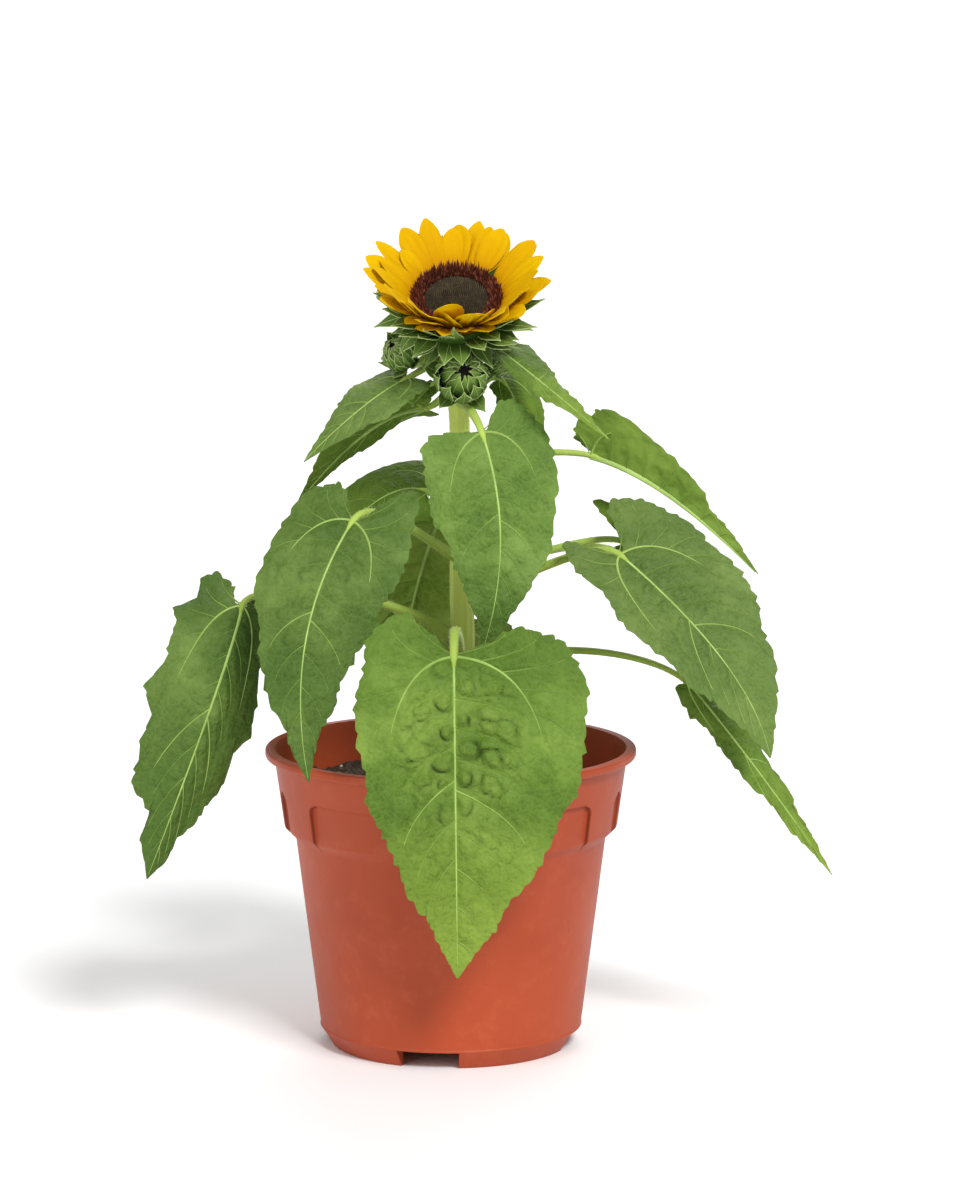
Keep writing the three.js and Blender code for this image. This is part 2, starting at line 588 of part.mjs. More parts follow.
// Pot
function potGeometry() {
  const collarInner = COLLAR_TOP_RADIUS - POT_WALL;
  const panel = COLLAR_BOTTOM_RADIUS - COLLAR_PANEL_DEPTH;
  const slope = (COLLAR_TOP_RADIUS - COLLAR_BOTTOM_RADIUS) / (POT_HEIGHT - POT_LIP_HEIGHT - COLLAR_BOTTOM);
  const collarAt = (height) => COLLAR_BOTTOM_RADIUS + slope * (height - COLLAR_BOTTOM);
  const floorTop = FLOOR_UNDERSIDE + FLOOR_THICKNESS;
  const lipFoot = POT_HEIGHT - POT_LIP_HEIGHT;
  const footInner = FOOT_RADIUS - FOOT_WALL;
  const shell = turned([
    [0, FLOOR_UNDERSIDE], [footInner, FLOOR_UNDERSIDE], [footInner, 0], [FOOT_RADIUS, 0],
    [FOOT_SHOULDER_RADIUS, FOOT_SHOULDER], [BODY_BOTTOM_RADIUS, BODY_BOTTOM],
    [BODY_TOP_RADIUS, COLLAR_BOTTOM - COLLAR_CHAMFER],
    [panel, COLLAR_BOTTOM - 1.2],
    [panel + slope * (COLLAR_PANEL_TOP - COLLAR_BOTTOM), COLLAR_PANEL_TOP],
    [collarAt(COLLAR_PANEL_TOP + 1), COLLAR_PANEL_TOP + 1],
    [collarAt(lipFoot), lipFoot - 0.6], [POT_LIP_RADIUS - 0.6, lipFoot],
    [POT_LIP_RADIUS, lipFoot + 0.8], [POT_LIP_RADIUS, POT_HEIGHT - 0.8],
    [POT_LIP_RADIUS - 0.8, POT_HEIGHT], [POT_LIP_RADIUS - POT_LIP_WIDTH, POT_HEIGHT],
    [collarInner, lipFoot - 2], [panel - POT_WALL, COLLAR_BOTTOM],
    [BODY_TOP_RADIUS - POT_WALL, COLLAR_BOTTOM - COLLAR_CHAMFER],
    [BODY_BOTTOM_RADIUS - POT_WALL, floorTop], [0, floorTop],
  ], POT_SEGMENTS);
  const pad = turned([
    [0, 0], [CENTRE_PAD_RADIUS, 0], [CENTRE_PAD_RADIUS + 2, floorTop - 0.5], [0, floorTop - 0.5],
  ], CENTRE_PAD_SIDES);
  const lugs = LUG_SPANS.map((span) => solid(sector(span, 9, [
    [BODY_TOP_RADIUS - 0.4, COLLAR_BOTTOM - COLLAR_CHAMFER - 0.3],
    [COLLAR_BOTTOM_RADIUS, COLLAR_BOTTOM],
    [collarAt(COLLAR_PANEL_TOP + 1.5), COLLAR_PANEL_TOP + 1.5],
    [panel, COLLAR_PANEL_TOP + 1.5],
  ])));
  const notches = NOTCH_BEARINGS.map((middle) => solid(sector(
    [middle - NOTCH_HALF_ANGLE, middle + NOTCH_HALF_ANGLE], 9, [
      [footInner - 3, -1], [BODY_BOTTOM_RADIUS + 3, -1],
      [BODY_BOTTOM_RADIUS + 3, NOTCH_HEIGHT], [footInner - 3, NOTCH_HEIGHT],
    ])));
  const drains = Array.from({ length: DRAIN_HOLES }, (_, k) => {
    const bore = new THREE.CylinderGeometry(DRAIN_RADIUS, DRAIN_RADIUS, 4 * FLOOR_THICKNESS, 8);
    bore.rotateX(Math.PI / 2);
    bore.translate(DRAIN_CIRCLE, 0, FLOOR_UNDERSIDE + FLOOR_THICKNESS / 2);
    bore.rotateZ((2 * Math.PI * k) / DRAIN_HOLES);
    return solid(bore);
  });
  return geometryOf(joined([solid(shell), solid(pad), ...lugs]).subtract(joined([...notches, ...drains])));
}

// Compost: fills the pot and has a gently uneven top
function soilGeometry() {
  const floor = FLOOR_UNDERSIDE + FLOOR_THICKNESS + GAP;
  const wallTop = COLLAR_BOTTOM_RADIUS - COLLAR_PANEL_DEPTH - POT_WALL - 0.6;
  const bottomRadius = BODY_BOTTOM_RADIUS - POT_WALL - 0.8;
  const shoulderRadius = BODY_TOP_RADIUS - POT_WALL - 0.8;
  const profile = [[0, floor], [bottomRadius, floor], [shoulderRadius, COLLAR_BOTTOM - COLLAR_CHAMFER]];
  for (let i = SOIL_RINGS; i >= 0; i -= 1) {
    profile.push([(wallTop * i) / SOIL_RINGS, SOIL_TOP]);
  }
  const soil = turned(profile, SOIL_SEGMENTS);
  const points = soil.attributes.position;
  for (let i = 0; i < points.count; i += 1) {
    if (points.getZ(i) > SOIL_TOP - 1) {
      const [x, y] = [points.getX(i), points.getY(i)];
      const bump = Math.sin(x / 9 + 1) * Math.cos(y / 11) - 0.2;
      const radius = Math.hypot(x, y);
      points.setZ(i, SOIL_TOP + (radius < SOIL_FLAT_RADIUS ? 0 : SOIL_BUMP * bump));
    }
  }
  return geometryOf(solid(soil));
}

function placed(name, geometry, material, position, quaternion) {
  const mesh = piece(name, geometry, material);
  mesh.position.copy(position);
  mesh.quaternion.copy(quaternion);
  return mesh;
}

const plant = new THREE.Group();

plant.add(piece('pot', potGeometry(), TERRACOTTA));
plant.add(piece('soil', soilGeometry(), COMPOST));
plant.add(piece('stem', stemGeometry(0), STEM_GREEN));

LEAVES.forEach((leaf) => {
  const rib = midrib(leaf);
  plant.add(piece(`petiole_${leaf.name}`, petioleGeometry(leaf, rib), STEM_GREEN));
  plant.add(piece(`leaf_${leaf.name}`, bladeGeometry(leaf, rib), LEAF_GREEN));
});

BUDS.forEach((bud) => {
  const turn = new THREE.Quaternion().setFromUnitVectors(vector([0, 0, 1]), unit(bud.axis));
  plant.add(piece(`bud_stalk_${bud.name}`, budStalk(bud), STEM_GREEN));
  plant.add(placed(`bud_${bud.name}`, budGeometry(bud), BRACT_GREEN, vector(bud.centre), turn));
});

const head = new THREE.Group();
head.position.copy(HEAD_CENTRE);
head.rotation.x = (90 - HEAD_ELEVATION) * DEGREE;
head.add(piece('flower_receptacle', receptacle(), BRACT_GREEN));
head.add(piece('flower_rays', rays(), RAY_YELLOW));
head.add(piece('flower_disc_rim', discRim(), RIM_BROWN));
head.add(piece('flower_disc', disc(), DISC_BROWN));
plant.add(head);

export default plant;
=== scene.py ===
"""Potted dwarf sunflower: one open flower head, three side buds and drooping toothed leaves
on a single hairy stem, in a round plastic nursery pot filled with compost.

Lengths are millimetres until a mesh is made. +Z is up and +Y away from the front view, and the
origin is the centre of the pot's underside.
"""

import math

import bpy
import numpy as np
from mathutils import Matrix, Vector


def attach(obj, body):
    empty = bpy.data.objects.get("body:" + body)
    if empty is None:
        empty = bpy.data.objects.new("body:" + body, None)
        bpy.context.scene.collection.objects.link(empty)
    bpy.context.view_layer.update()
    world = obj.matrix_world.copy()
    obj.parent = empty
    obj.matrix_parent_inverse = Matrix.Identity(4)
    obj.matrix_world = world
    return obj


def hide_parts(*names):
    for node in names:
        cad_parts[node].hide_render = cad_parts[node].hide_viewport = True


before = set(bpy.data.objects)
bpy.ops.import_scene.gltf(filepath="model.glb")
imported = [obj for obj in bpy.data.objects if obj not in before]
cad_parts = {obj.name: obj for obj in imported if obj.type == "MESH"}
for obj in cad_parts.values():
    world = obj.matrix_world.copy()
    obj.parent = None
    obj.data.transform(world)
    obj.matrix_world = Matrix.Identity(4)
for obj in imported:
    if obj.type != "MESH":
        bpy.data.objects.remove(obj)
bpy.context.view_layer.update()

# Pot, with its lip above a collar of lugs and panels, a body and a foot ring
POT_HEIGHT = 138
POT_LIP_RADIUS = 85
POT_LIP_WIDTH = 4.6
POT_LIP_HEIGHT = 4
POT_WALL = 1.6
COLLAR_TOP_RADIUS = 80.8
COLLAR_BOTTOM_RADIUS = 76.4
COLLAR_BOTTOM = 102
COLLAR_CHAMFER = 5
PANEL_TOP = 119
PANEL_DEPTH = 2
PANEL_CORNER = 4
BODY_TOP_RADIUS = 71.2
BODY_BOTTOM_RADIUS = 60.1
BODY_BOTTOM = 8.6
SEAM = 0.25
FOOT_RADIUS = 54.8
FOOT_WALL = 2.2
FOOT_SHOULDER = 4.5
FOOT_SHOULDER_RADIUS = 57.6
FLOOR_UNDERSIDE = 8.6
FLOOR_TOP = 10.4
CENTRE_PAD_RADIUS = 12
NOTCH_HALF_ANGLE = 14
NOTCH_HEIGHT = 8.3
NOTCH_BEARINGS = [-10, 80, 170, 260]
LUG_SPANS = [[middle - 9, middle + 9] for middle in (63, 90, 117, -63, -90, -117)]
LUG_STEP = 0.6
DRAIN_HOLES = 6
DRAIN_RADIUS = 4.5
DRAIN_CIRCLE = 34
POT_SEGMENTS = 180
EDGE_ROUNDING = 0.7

# Compost: the radii between which its crumbs and perlite lie, and their sizes
SOIL_TOP = 120
SOIL_SHOULDER = 97
SOIL_SEGMENTS = 180
CRUMBS = {"count": 1700, "smallest": 0.5, "largest": 3.2, "kind": 1, "inner": 8, "margin": 1}
PERLITE_GRAINS = {"count": 90, "smallest": 0.6, "largest": 1.5, "kind": 2, "inner": 10, "margin": 2}

# Stem
GAP = 0.3
STEM_FOOT = np.array([5.5, 0, SOIL_TOP + GAP])
STEM_FOOT_RADIUS = 5.8
STEM_TOP_RADIUS = 3.7
STEM_FLARE = 1.2
STEM_FLARE_HEIGHT = 12
STEM_RISE = 150
STEM_NECK = 14
STEM_RIDGES = 11
STEM_RINGS = 180
# Share of its curve by which the stem goes on below its foot
STEM_SUNK = 0.004

# Hairs, those of a petiole for each millimetre of its length
STEM_HAIRS = 2600
STEM_HAIR_LENGTH = 1.3
PETIOLE_HAIRS = 5
PETIOLE_HAIR_LENGTH = 1
BUD_HAIRS = 60
BUD_HAIR_LENGTH = 0.9
BRACT_HAIRS = 12
BRACT_HAIR_LENGTH = 1.4
HAIR_HALF_WIDTH = 0.07
HAIR_DROOP = 0.2

# Flower head: its frame has +Z out of the disc's face and +Y up the back of the disc
HEAD_CENTRE = np.array([2.9, -15, 345.2])
HEAD_TURN = math.radians(40)
HEAD_DEPTH = 19
DISC_RADIUS = 14.6
DISC_RIM_RADIUS = 20.4
DISC_BACK = -3.2
DISC_SINK = -2.6
DISC_FLORETS = 820
RIM_FLORETS = 900
RIM_SPREAD = {"angle": 0.015, "lean": 0.12, "length": 0.3}
GOLDEN_ANGLE = math.radians(137.508)
RECEPTACLE_RADIUS = 23.4
HEAD_SEGMENTS = 64
RECEPTACLE_SEGMENTS = 96

# Ray florets. RAY_SPREAD holds the standard deviations between one and the next, as shares for
# length and width. A pair in a whorl holds the values at the back and at the front of the head,
# and front is how far from the front, in degrees, a whorl that isn't whole reaches.
RAY_THICKNESS = 0.35
RAY_HOLLOW = 0.1
RAY_PLEATS = 0.35
RAY_GRID = (26, 6)
RAY_SPREAD = {"bearing": 2.4, "length": 0.08, "width": 0.12, "bend": 6, "hollow": 0.08,
              "twist": 20, "lift": 4}
RAY_KEYS = ("length", "width", "lift", "bend", "radius", "height")
RAY_WHORLS = [
    {"count": 21, "shift": 0.0, "length": (23.2, 26), "width": (10.4, 12.4), "lift": (12, 58),
     "bend": (8, 10), "radius": (21.4, 19.8), "height": (-1.4, 1.6), "front": 360},
    {"count": 19, "shift": 0.3, "length": (22.6, 25), "width": (9.8, 12), "lift": (20, 60),
     "bend": (3, -6), "radius": (21.4, 20.2), "height": (-2, 1.2), "front": 360},
    {"count": 20, "shift": 0.5, "length": (18, 15), "width": (9.5, 11), "lift": (40, 47),
     "bend": (-18, -22), "radius": (21.4, 20.8), "height": (-2.4, 1), "front": 64},
]

# Bracts, in rows behind the head from the rays down: depth is how far behind the disc's face
BRACT_THICKNESS = 0.6
BRACT_HOLLOW = 0.1
BRACT_PLEATS = 0.12
BRACT_BEND = 12
BRACT_GRID = (16, 3)
BRACT_SPREAD = {"bearing": 5, "lift": 8, "length": 0.09, "bend": 14, "twist": 8}
BRACT_ROWS = [
    {"count": 17, "length": 17, "width": 8.5, "lift": (8, 40), "depth": 4},
    {"count": 16, "length": 22, "width": 8.5, "lift": (-2, 20), "depth": 6},
    {"count": 15, "length": 20, "width": 9, "lift": (-20, 4), "depth": 8},
    {"count": 13, "length": 17, "width": 8.5, "lift": (-44, -22), "depth": 11},
    {"count": 10, "length": 15, "width": 7.5, "lift": (-62, -46), "depth": 14},
]

# Outlines of rays and bracts, as [along / length, half width / greatest half width]
RAY_OUTLINE = np.array([
    [0, 0.45], [0.18, 0.78], [0.38, 0.96], [0.58, 1], [0.76, 0.88], [0.88, 0.62], [0.96, 0.32], [1, 0.12],
])
BRACT_OUTLINE = np.array([
    [0, 0.5], [0.2, 0.86], [0.4, 1], [0.6, 0.84], [0.76, 0.46], [0.88, 0.17], [0.95, 0.08], [1, 0.03],
])

# Leaf blade: one half of the outline, from the petiole round the lobe to the tip,
# as [along the midrib / blade length, across / half width]
BLADE_OUTLINE = np.array([
    [0, 0.05], [-0.06, 0.22], [-0.115, 0.52], [-0.04, 0.86], [0.15, 1],
    [0.38, 0.93], [0.62, 0.65], [0.82, 0.31], [0.93, 0.12], [1, 0.01],
])
BLADE_FAN = 2.2
BLADE_SWEEP = 5.5
BLADE_MITRE = 0.3
BLADE_ROOT_HALF = 1.6
BLADE_THICKNESS = 0.55
COLUMN_SPACING = 1.25

# Relief of a blade. A blade shorter than FULL_LENGTH has it smaller in proportion.
FULL_LENGTH = 110
TOOTH_PITCH = 7
TOOTH_DEPTH = 2.5
TOOTH_RISE = 0.75
QUILT_RELIEF = 2
QUILT_PITCH = 10
FINE_QUILT_PITCH = 5.2
BLISTER_PITCH = 13
BLISTER_HALF = 4.6
BLISTER_RELIEF = 2.6

# Side veins: where each leaves the midrib, where on the outline it heads for, how far it gets
# towards there, and its width. The second is the strong one that starts beside the petiole.
SIDE_VEINS = [
    (0.0, 0.2, 0.88, 0.6), (0.005, 0.56, 0.74, 1.6), (0.1, 0.5, 0.5, 0.5), (0.19, 0.56, 0.5, 0.5),
    (0.28, 0.6, 0.6, 0.55), (0.38, 0.67, 0.85, 0.95), (0.5, 0.72, 0.85, 0.65), (0.62, 0.77, 0.88, 0.6),
    (0.74, 0.83, 0.88, 0.5), (0.85, 0.89, 0.88, 0.4),
]
# Branches of the strong side vein, on halves at least BRANCHED_HALF wide: where each leaves it,
# where on the outline it heads for, and its width
BASAL_BRANCHES = [(0.22, 0.28, 0.65), (0.4, 0.37, 0.6), (0.58, 0.44, 0.55), (0.8, 0.52, 0.5)]
BRANCHED_HALF = 24
VEIN_POINTS = 22
VEIN_POINTS_BELOW = 17
VEIN_SINK = 0.6
FINE_VEIN_WIDTH = 0.9

# Petioles: radius = the first number + the second x the mean half width of the blade
PETIOLE_ROOT = (1.6, 0.03)
PETIOLE_TIP = (1.1, 0.015)
PETIOLE_END = 1.5
PETIOLE_TAIL = 8
LIMB_SIDES = 20


def sized(name, **sizes):
    """Sizes of one leaf, with those that most leaves share where it has none of its own."""
    shared = {"lobe": [1, 1], "belly": [1, 1], "fold": [0, 0], "curl": [-10, -10],
              "quilt": 0.4, "wave": 0.9, "ruffle": 1.6}
    return {"name": name, **shared, **sizes}


# Leaves. node is the height on the stem where the petiole leaves it, rise its angle above
# level there and hook the length over which it bends into the blade. base, mid and tip are
# points of the midrib. face is the way the upper side looks at the base and at the tip.
# half holds the half widths left and right of the midrib, lobe the size of the two basal
# lobes, fold the angles of the two halves at the midrib and curl how far they bend on.
# belly moves the widest part of each half towards the tip when under 1. quilt, wave and ruffle
# say how strong the quilting, the waves of the outline and those of the margin's height are.
LEAVES = [
    sized("front_low", node=168, rise=35, hook=26, half=[43, 58], lobe=[1.15, 0.62],
          base=[1.9, -92, 195.6], mid=[2.7, -106, 133.7], tip=[3.5, -100, 52.6],
          face=[[0, -1, 0.2], [0, -1, 0]], fold=[5, 5], curl=[-8, -8], tone="fresh", quilt=1.3),
    sized("front_high", node=297, rise=0, hook=8, half=[31, 28], lobe=[0.4, 0.9], base=[14.1, -34, 287.2],
          mid=[22.5, -48, 240.2], tip=[14.6, -48, 190.5], face=[[0, -1, 0.3], [0, -1, 0]], tone="bright"),
    sized("left_front", node=224, rise=25, hook=18, half=[29.5, 31], lobe=[1, 1.7], belly=[1.2, 1.1],
          base=[-42.7, -55, 250.2], mid=[-63.5, -78, 199], tip=[-62.3, -82, 137.1],
          face=[[-0.2, -1, 0.5], [0.1, -1, 0]], tone="deep"),
    sized("left_low", node=186, rise=40, hook=20, half=[28.5, 23], lobe=[1.3, 0.9], belly=[0.72, 0.6],
          base=[-93.6, -32, 208.4], mid=[-105.6, -50, 169.1], tip=[-136.7, -46, 85.6],
          face=[[0, -1, 0.4], [0, -1, 0.2]], fold=[0, -38], tone="deep", quilt=0.2, wave=2.6, ruffle=1.8),
    sized("right_front", node=208, rise=15, hook=16, half=[25, 37], lobe=[1.5, 1.6], belly=[0.65, 1],
          base=[76, -25, 230.5], mid=[122.3, -52, 185.8], tip=[142.9, -58, 143.3],
          face=[[0.2, -0.9, 0.5], [0.3, -0.9, 0.3]], fold=[8, 0], curl=[4, -10], tone="soft"),
    sized("right_low", node=171, rise=30, hook=20, half=[8, 16], lobe=[0.15, 0.4], belly=[1, 1.5],
          base=[108.3, -6, 168.3], mid=[139.2, -22, 131], tip=[173.4, -28, 83.5],
          face=[[0.4, -0.6, 0.7], [0.4, -0.8, 0.4]], fold=[-20, -10], tone="fresh"),
    sized("right_high", node=262, rise=30, hook=14, half=[23, 17], lobe=[0.9, 0.9], belly=[2, 1.8],
          base=[63.4, 0, 272.3], mid=[98.6, -8, 255.5], tip=[139.2, -16, 220.1],
          face=[[0, 0.1, 1], [0.3, 0.1, 1]], fold=[68, 50], curl=[8, 8], tone="olive"),
    sized("upper_right", node=315, rise=20, hook=6, half=[8, 17], lobe=[0.3, 0.7], belly=[1, 2.2],
          base=[20.2, -12, 322.8], mid=[41.5, -36, 308.7], tip=[70.9, -56, 286],
          face=[[0.5, -0.8, 0.5], [0.4, -0.6, 0.7]], tone="fresh"),
    sized("upper_right_back", node=294, rise=25, hook=11, half=[8, 19], lobe=[0.2, 0.6],
          base=[22.5, 3, 306.7], mid=[30.6, -4, 292], tip=[32.4, -10, 264.9],
          face=[[0.3, -0.7, 0.6], [0.3, -0.9, 0.2]], fold=[-10, -20], tone="olive"),
    sized("upper_left", node=318, rise=-5, hook=8, half=[18, 15], lobe=[1, 0.4], belly=[1.3, 1],
          base=[-19, -12, 308.8], mid=[-39.9, -28, 296.6], tip=[-65.2, -38, 274],
          face=[[-0.4, -0.6, 0.7], [-0.4, -0.6, 0.7]], tone="soft"),
    sized("small_left", node=303, rise=0, hook=3, half=[3.5, 4.5], lobe=[0, 0], base=[-6.9, -9, 306.2],
          mid=[-11.9, -11, 301.9], tip=[-17.3, -12, 295.6], face=[[-0.3, -0.8, 0.5], [-0.3, -0.8, 0.5]],
          tone="fresh"),
    sized("left_high", node=302, rise=-10, hook=8, half=[13, 18], lobe=[0.6, 0.6], base=[-12, 4, 293.3],
          mid=[-38, 5, 282.7], tip=[-69.8, 0, 250.3], face=[[-0.4, 0.6, 0.8], [-0.6, 0.6, 0.4]],
          curl=[10, 10], tone="olive"),
    sized("left_back", node=244, rise=30, hook=12, half=[24, 24], base=[-10, 24, 252], mid=[-34, 30, 247],
          tip=[-64, 32, 215], face=[[0, -0.5, 0.8], [-0.3, -0.6, 0.7]], tone="olive"),
    sized("back_centre", node=218, rise=30, hook=14, half=[26, 26], base=[-6, 42, 236], mid=[-18, 52, 196],
          tip=[-28, 52, 140], face=[[0, 1, 0.3], [-0.1, 1, 0.1]], curl=[-8, -8], tone="cool"),
    sized("right_back", node=215, rise=18, hook=14, half=[15, 18], lobe=[0.5, 3.3], base=[80.1, 6, 231.5],
          mid=[105.6, 2, 217.4], tip=[135.6, -2, 204.1], face=[[0.2, -0.6, 0.7], [0.3, -0.6, 0.7]],
          fold=[0, 8], curl=[-10, 6], tone="olive"),
    sized("back_high", node=270, rise=20, hook=12, half=[23, 23], lobe=[0.8, 0.8], base=[10, 52, 264],
          mid=[14, 84, 246], tip=[16, 102, 188], face=[[0.1, 0.5, 0.9], [0, 1, 0.3]], tone="fresh"),
    sized("back_left", node=176, rise=30, hook=18, half=[24, 24], base=[-58, 54, 210], mid=[-72, 78, 184],
          tip=[-76, 90, 126], face=[[-0.4, 0.6, 0.8], [-0.5, 1, 0.2]], tone="soft"),
    sized("back_right", node=209, rise=30, hook=18, half=[22, 22], base=[76, 60, 220], mid=[98, 84, 192],
          tip=[126, 94, 140], face=[[0.4, 0.6, 0.8], [0.5, 1, 0.2]], tone="soft"),
    sized("back_low", node=158, rise=35, hook=18, half=[32, 32], base=[2, 92, 178], mid=[0, 112, 140],
          tip=[-4, 112, 66], face=[[0, 0.7, 0.8], [0, 1, 0.1]], tone="fresh"),
]

# Side buds: centre, way the bud looks, radius, where its stalk leaves the stem
BUDS = [
    {"name": "front", "centre": [5.4, -22, 311], "axis": [0.05, -0.95, 0.3], "radius": 12.5, "node": 303},
    {"name": "left", "centre": [-23, -10, 320.3], "axis": [-0.5, -0.6, 0.6], "radius": 8.5, "node": 325},
    {"name": "right", "centre": [22.4, -13, 314.3], "axis": [0.6, -0.7, 0.4], "radius": 4.5, "node": 313},
]
BUD_STALK_RADIUS = 2
# Whorls of a bud's scales, from its back to its opening. size, ring and height are in radii.
BUD_WHORLS = [
    {"count": 5, "size": 1.25, "ring": 0.4, "height": -0.9, "tilt": 12, "bend": 35},
    {"count": 10, "size": 1.05, "ring": 0.72, "height": -0.72, "tilt": 58, "bend": 45},
    {"count": 10, "size": 1.2, "ring": 0.92, "height": -0.42, "tilt": 74, "bend": 55},
    {"count": 10, "size": 0.95, "ring": 0.78, "height": -0.02, "tilt": 98, "bend": 55},
]
SCALE_WIDTH = 0.66
SCALE_HOLLOW = 0.22
SCALE_SPREAD = {"bearing": 3, "lift": 5}
BUD_SEGMENTS = 40
BUD_CORE = [[0.01, -1], [0.45, -0.92], [0.74, -0.55], [0.76, -0.1], [0.6, 0.2], [0.3, 0.26], [0.01, 0.2]]
# Profile of the near-black disc of painted shade in a bud's opening
BUD_OPENING = np.array([[0.01, 0.15], [0.6, 0.15], [0.62, 0.3], [0.3, 0.36], [0.01, 0.34]])

# Angles in degrees from which edges are sharp, for the pieces of each slot
CREASES = {"stem": 70, "leaf": 60, "ray": 50, "disc": 40, "disc_rim": 40, "bract": 55,
           "compost": 30, "pot": 28}

# Camera in metres and degrees, and lights: the way each comes from, its spread and its strength
CAMERA_PLACE = (0.0134, -2.2, 0.549)
CAMERA_TILT = 81.13
CAMERA_LENS = 146.4
CAMERA_SENSOR = 36
LIGHTS = {
    "key": ((0.45, -1, 1.0), 16, 2.6),
    "fill": ((-0.9, -1, 0.6), 40, 0.8),
    "back": ((0.2, 1, 0.8), 40, 1.1),
}
SKY_STRENGTH = 0.45
FLOOR_REACH = 60
FLOOR_SHADE = (0.93, 0.93, 0.93, 1)

random = np.random.default_rng(21)


# Colours and materials

def colour(shade):
    """Linear colour from screen values of 0 to 255."""
    shares = np.array(shade) / 255
    linear = np.where(shares <= 0.04045, shares / 12.92, ((shares + 0.055) / 1.055) ** 2.4)
    return (*map(float, linear), 1.0)


class Look:
    """A material with a Principled shader, and short ways to add nodes to it."""

    def __init__(self, name, roughness, specular=0.5):
        self.material = bpy.data.materials.new(name)
        self.material.use_nodes = True
        self.tree = self.material.node_tree
        self.shader = self.tree.nodes["Principled BSDF"]
        self.fill(self.shader, {"Roughness": roughness, "Specular IOR Level": specular})
        self.place = self.add("TexCoord").outputs["Object"]

    def fill(self, node, inputs):
        """Links sockets to a node's inputs, and sets the inputs that are given as plain values."""
        for key, value in inputs.items():
            if isinstance(value, bpy.types.NodeSocket):
                self.tree.links.new(value, node.inputs[key])
            else:
                node.inputs[key].default_value = value

    def add(self, kind, **inputs):
        node = self.tree.nodes.new("ShaderNode" + kind)
        self.fill(node, {key.replace("_", " "): value for key, value in inputs.items()})
        return node

    def noise(self, scale, detail=3, roughness=0.55, place=None):
        node = self.add("TexNoise", Scale=scale, Detail=detail, Roughness=roughness,
                        Vector=place or self.place)
        return node.outputs["Fac"]

    def stretched(self, stretch):
        return self.add("Mapping", Scale=stretch, Vector=self.place).outputs["Vector"]

    def cells(self, scale):
        node = self.add("TexVoronoi", Scale=scale, Vector=self.place)
        node.feature = "DISTANCE_TO_EDGE"
        return node.outputs["Distance"]

    def ramp(self, source, *stops):
        """Colours at places from 0 to 1, driven by a value."""
        node = self.add("ValToRGB", Fac=source)
        elements = node.color_ramp.elements
        while len(elements) < len(stops):
            elements.new(0.5)
        for element, (place, shade) in zip(elements, stops):
            element.position = place
            element.color = shade
        return node.outputs["Color"]

    def fade(self, source, *stops):
        """Values at places from 0 to 1, driven by a value."""
        return self.ramp(source, *[(place, (value, value, value, 1)) for place, value in stops])

    def mix(self, share, first, second):
        node = self.tree.nodes.new("ShaderNodeMix")
        node.data_type = "RGBA"
        self.fill(node, {"Factor": share, "A": first, "B": second})
        return node.outputs["Result"]

    def scaled(self, source, low, high):
        return self.add("MapRange", Value=source, To_Min=low, To_Max=high).outputs["Result"]

    def split(self, vector):
        return self.add("SeparateXYZ", Vector=vector).outputs

    def mapped(self):
        """The two values that each point of the mesh carries, as outputs X and Y."""
        return self.split(self.add("UVMap").outputs["UV"])

    def finish(self, shade, *bumps):
        """Sets the base colour, then stacks bumps of (height, strength, distance in metres)."""
        last = {}
        for height, strength, distance in bumps:
            node = self.add("Bump", Height=height, Strength=strength, Distance=distance, **last)
            last = {"Normal": node.outputs["Normal"]}
        self.fill(self.shader, {"Base Color": shade, **last})
        return self.material


def leaf_look(name, shades):
    """Leaf's upper side: mottled, with a fine net, painted shade in the creases and toned at the tip."""
    dark, middle, light, tip = map(colour, shades)
    look = Look(name, 0.62, 0.18)
    carried = look.mapped()
    base = look.ramp(look.noise(24, 6, 0.65), (0.34, dark), (0.5, middle), (0.66, light))
    net = look.cells(320)
    netted = look.mix(look.fade(net, (0, 0.22), (0.12, 0)), base, light)
    rooted = look.mix(look.fade(carried["Y"], (0, 0.35), (0.3, 0)), netted, dark)
    toned = look.mix(look.fade(carried["Y"], (0.45, 0), (0.9, 0.7)), rooted, tip)
    # Painted shade: the creases of the quilting darken towards a deep copy of the dark mottle.
    deep = (*(0.4 * part for part in dark[:3]), 1)
    painted_crease_shade = look.mix(look.scaled(carried["X"], 0, 0.9), toned, deep)
    return look.finish(painted_crease_shade, (look.noise(150, 2, 0.5), 0.6, 0.004), (net, 0.6, 0.0012),
                       (look.noise(700), 0.4, 0.0006))


def under_look(name, shades):
    """Leaf's underside: paler, with a net of pale veins."""
    dark, light = map(colour, shades)
    look = Look(name, 0.7, 0.15)
    base = look.ramp(look.noise(30, 4), (0.3, dark), (0.7, light))
    net = look.cells(300)
    netted = look.mix(look.fade(net, (0, 0.35), (0.2, 0)), base, light)
    return look.finish(netted, (net, 0.3, 0.0006), (look.noise(1200, 2), 0.2, 0.0003))


def vein_look(name, dark, light):
    look = Look(name, 0.55)
    base = look.ramp(look.noise(60, 2), (0.3, colour(dark)), (0.7, colour(light)))
    return look.finish(base, (look.noise(700, 2), 0.15, 0.0003))


def stem_look(name, dark, light):
    """Green limb, darker low on the plant than high, with streaks along it. The pale high end of the stem's
    colours is painted light against the shade of the head above.
    """
    low, high = colour(dark), colour(light)
    look = Look(name, 0.55, 0.3)
    height = look.add("MapRange", From_Min=0.14, From_Max=0.27, Value=look.split(look.place)["Z"])
    base = look.ramp(height.outputs["Result"], (0, low), (1, high))
    streaks = look.noise(55, place=look.stretched((6, 6, 0.6)))
    shade = look.mix(look.scaled(streaks, 0, 0.3), base, low)
    return look.finish(shade, (streaks, 0.3, 0.0008), (look.noise(1500, 2), 0.3, 0.0003))


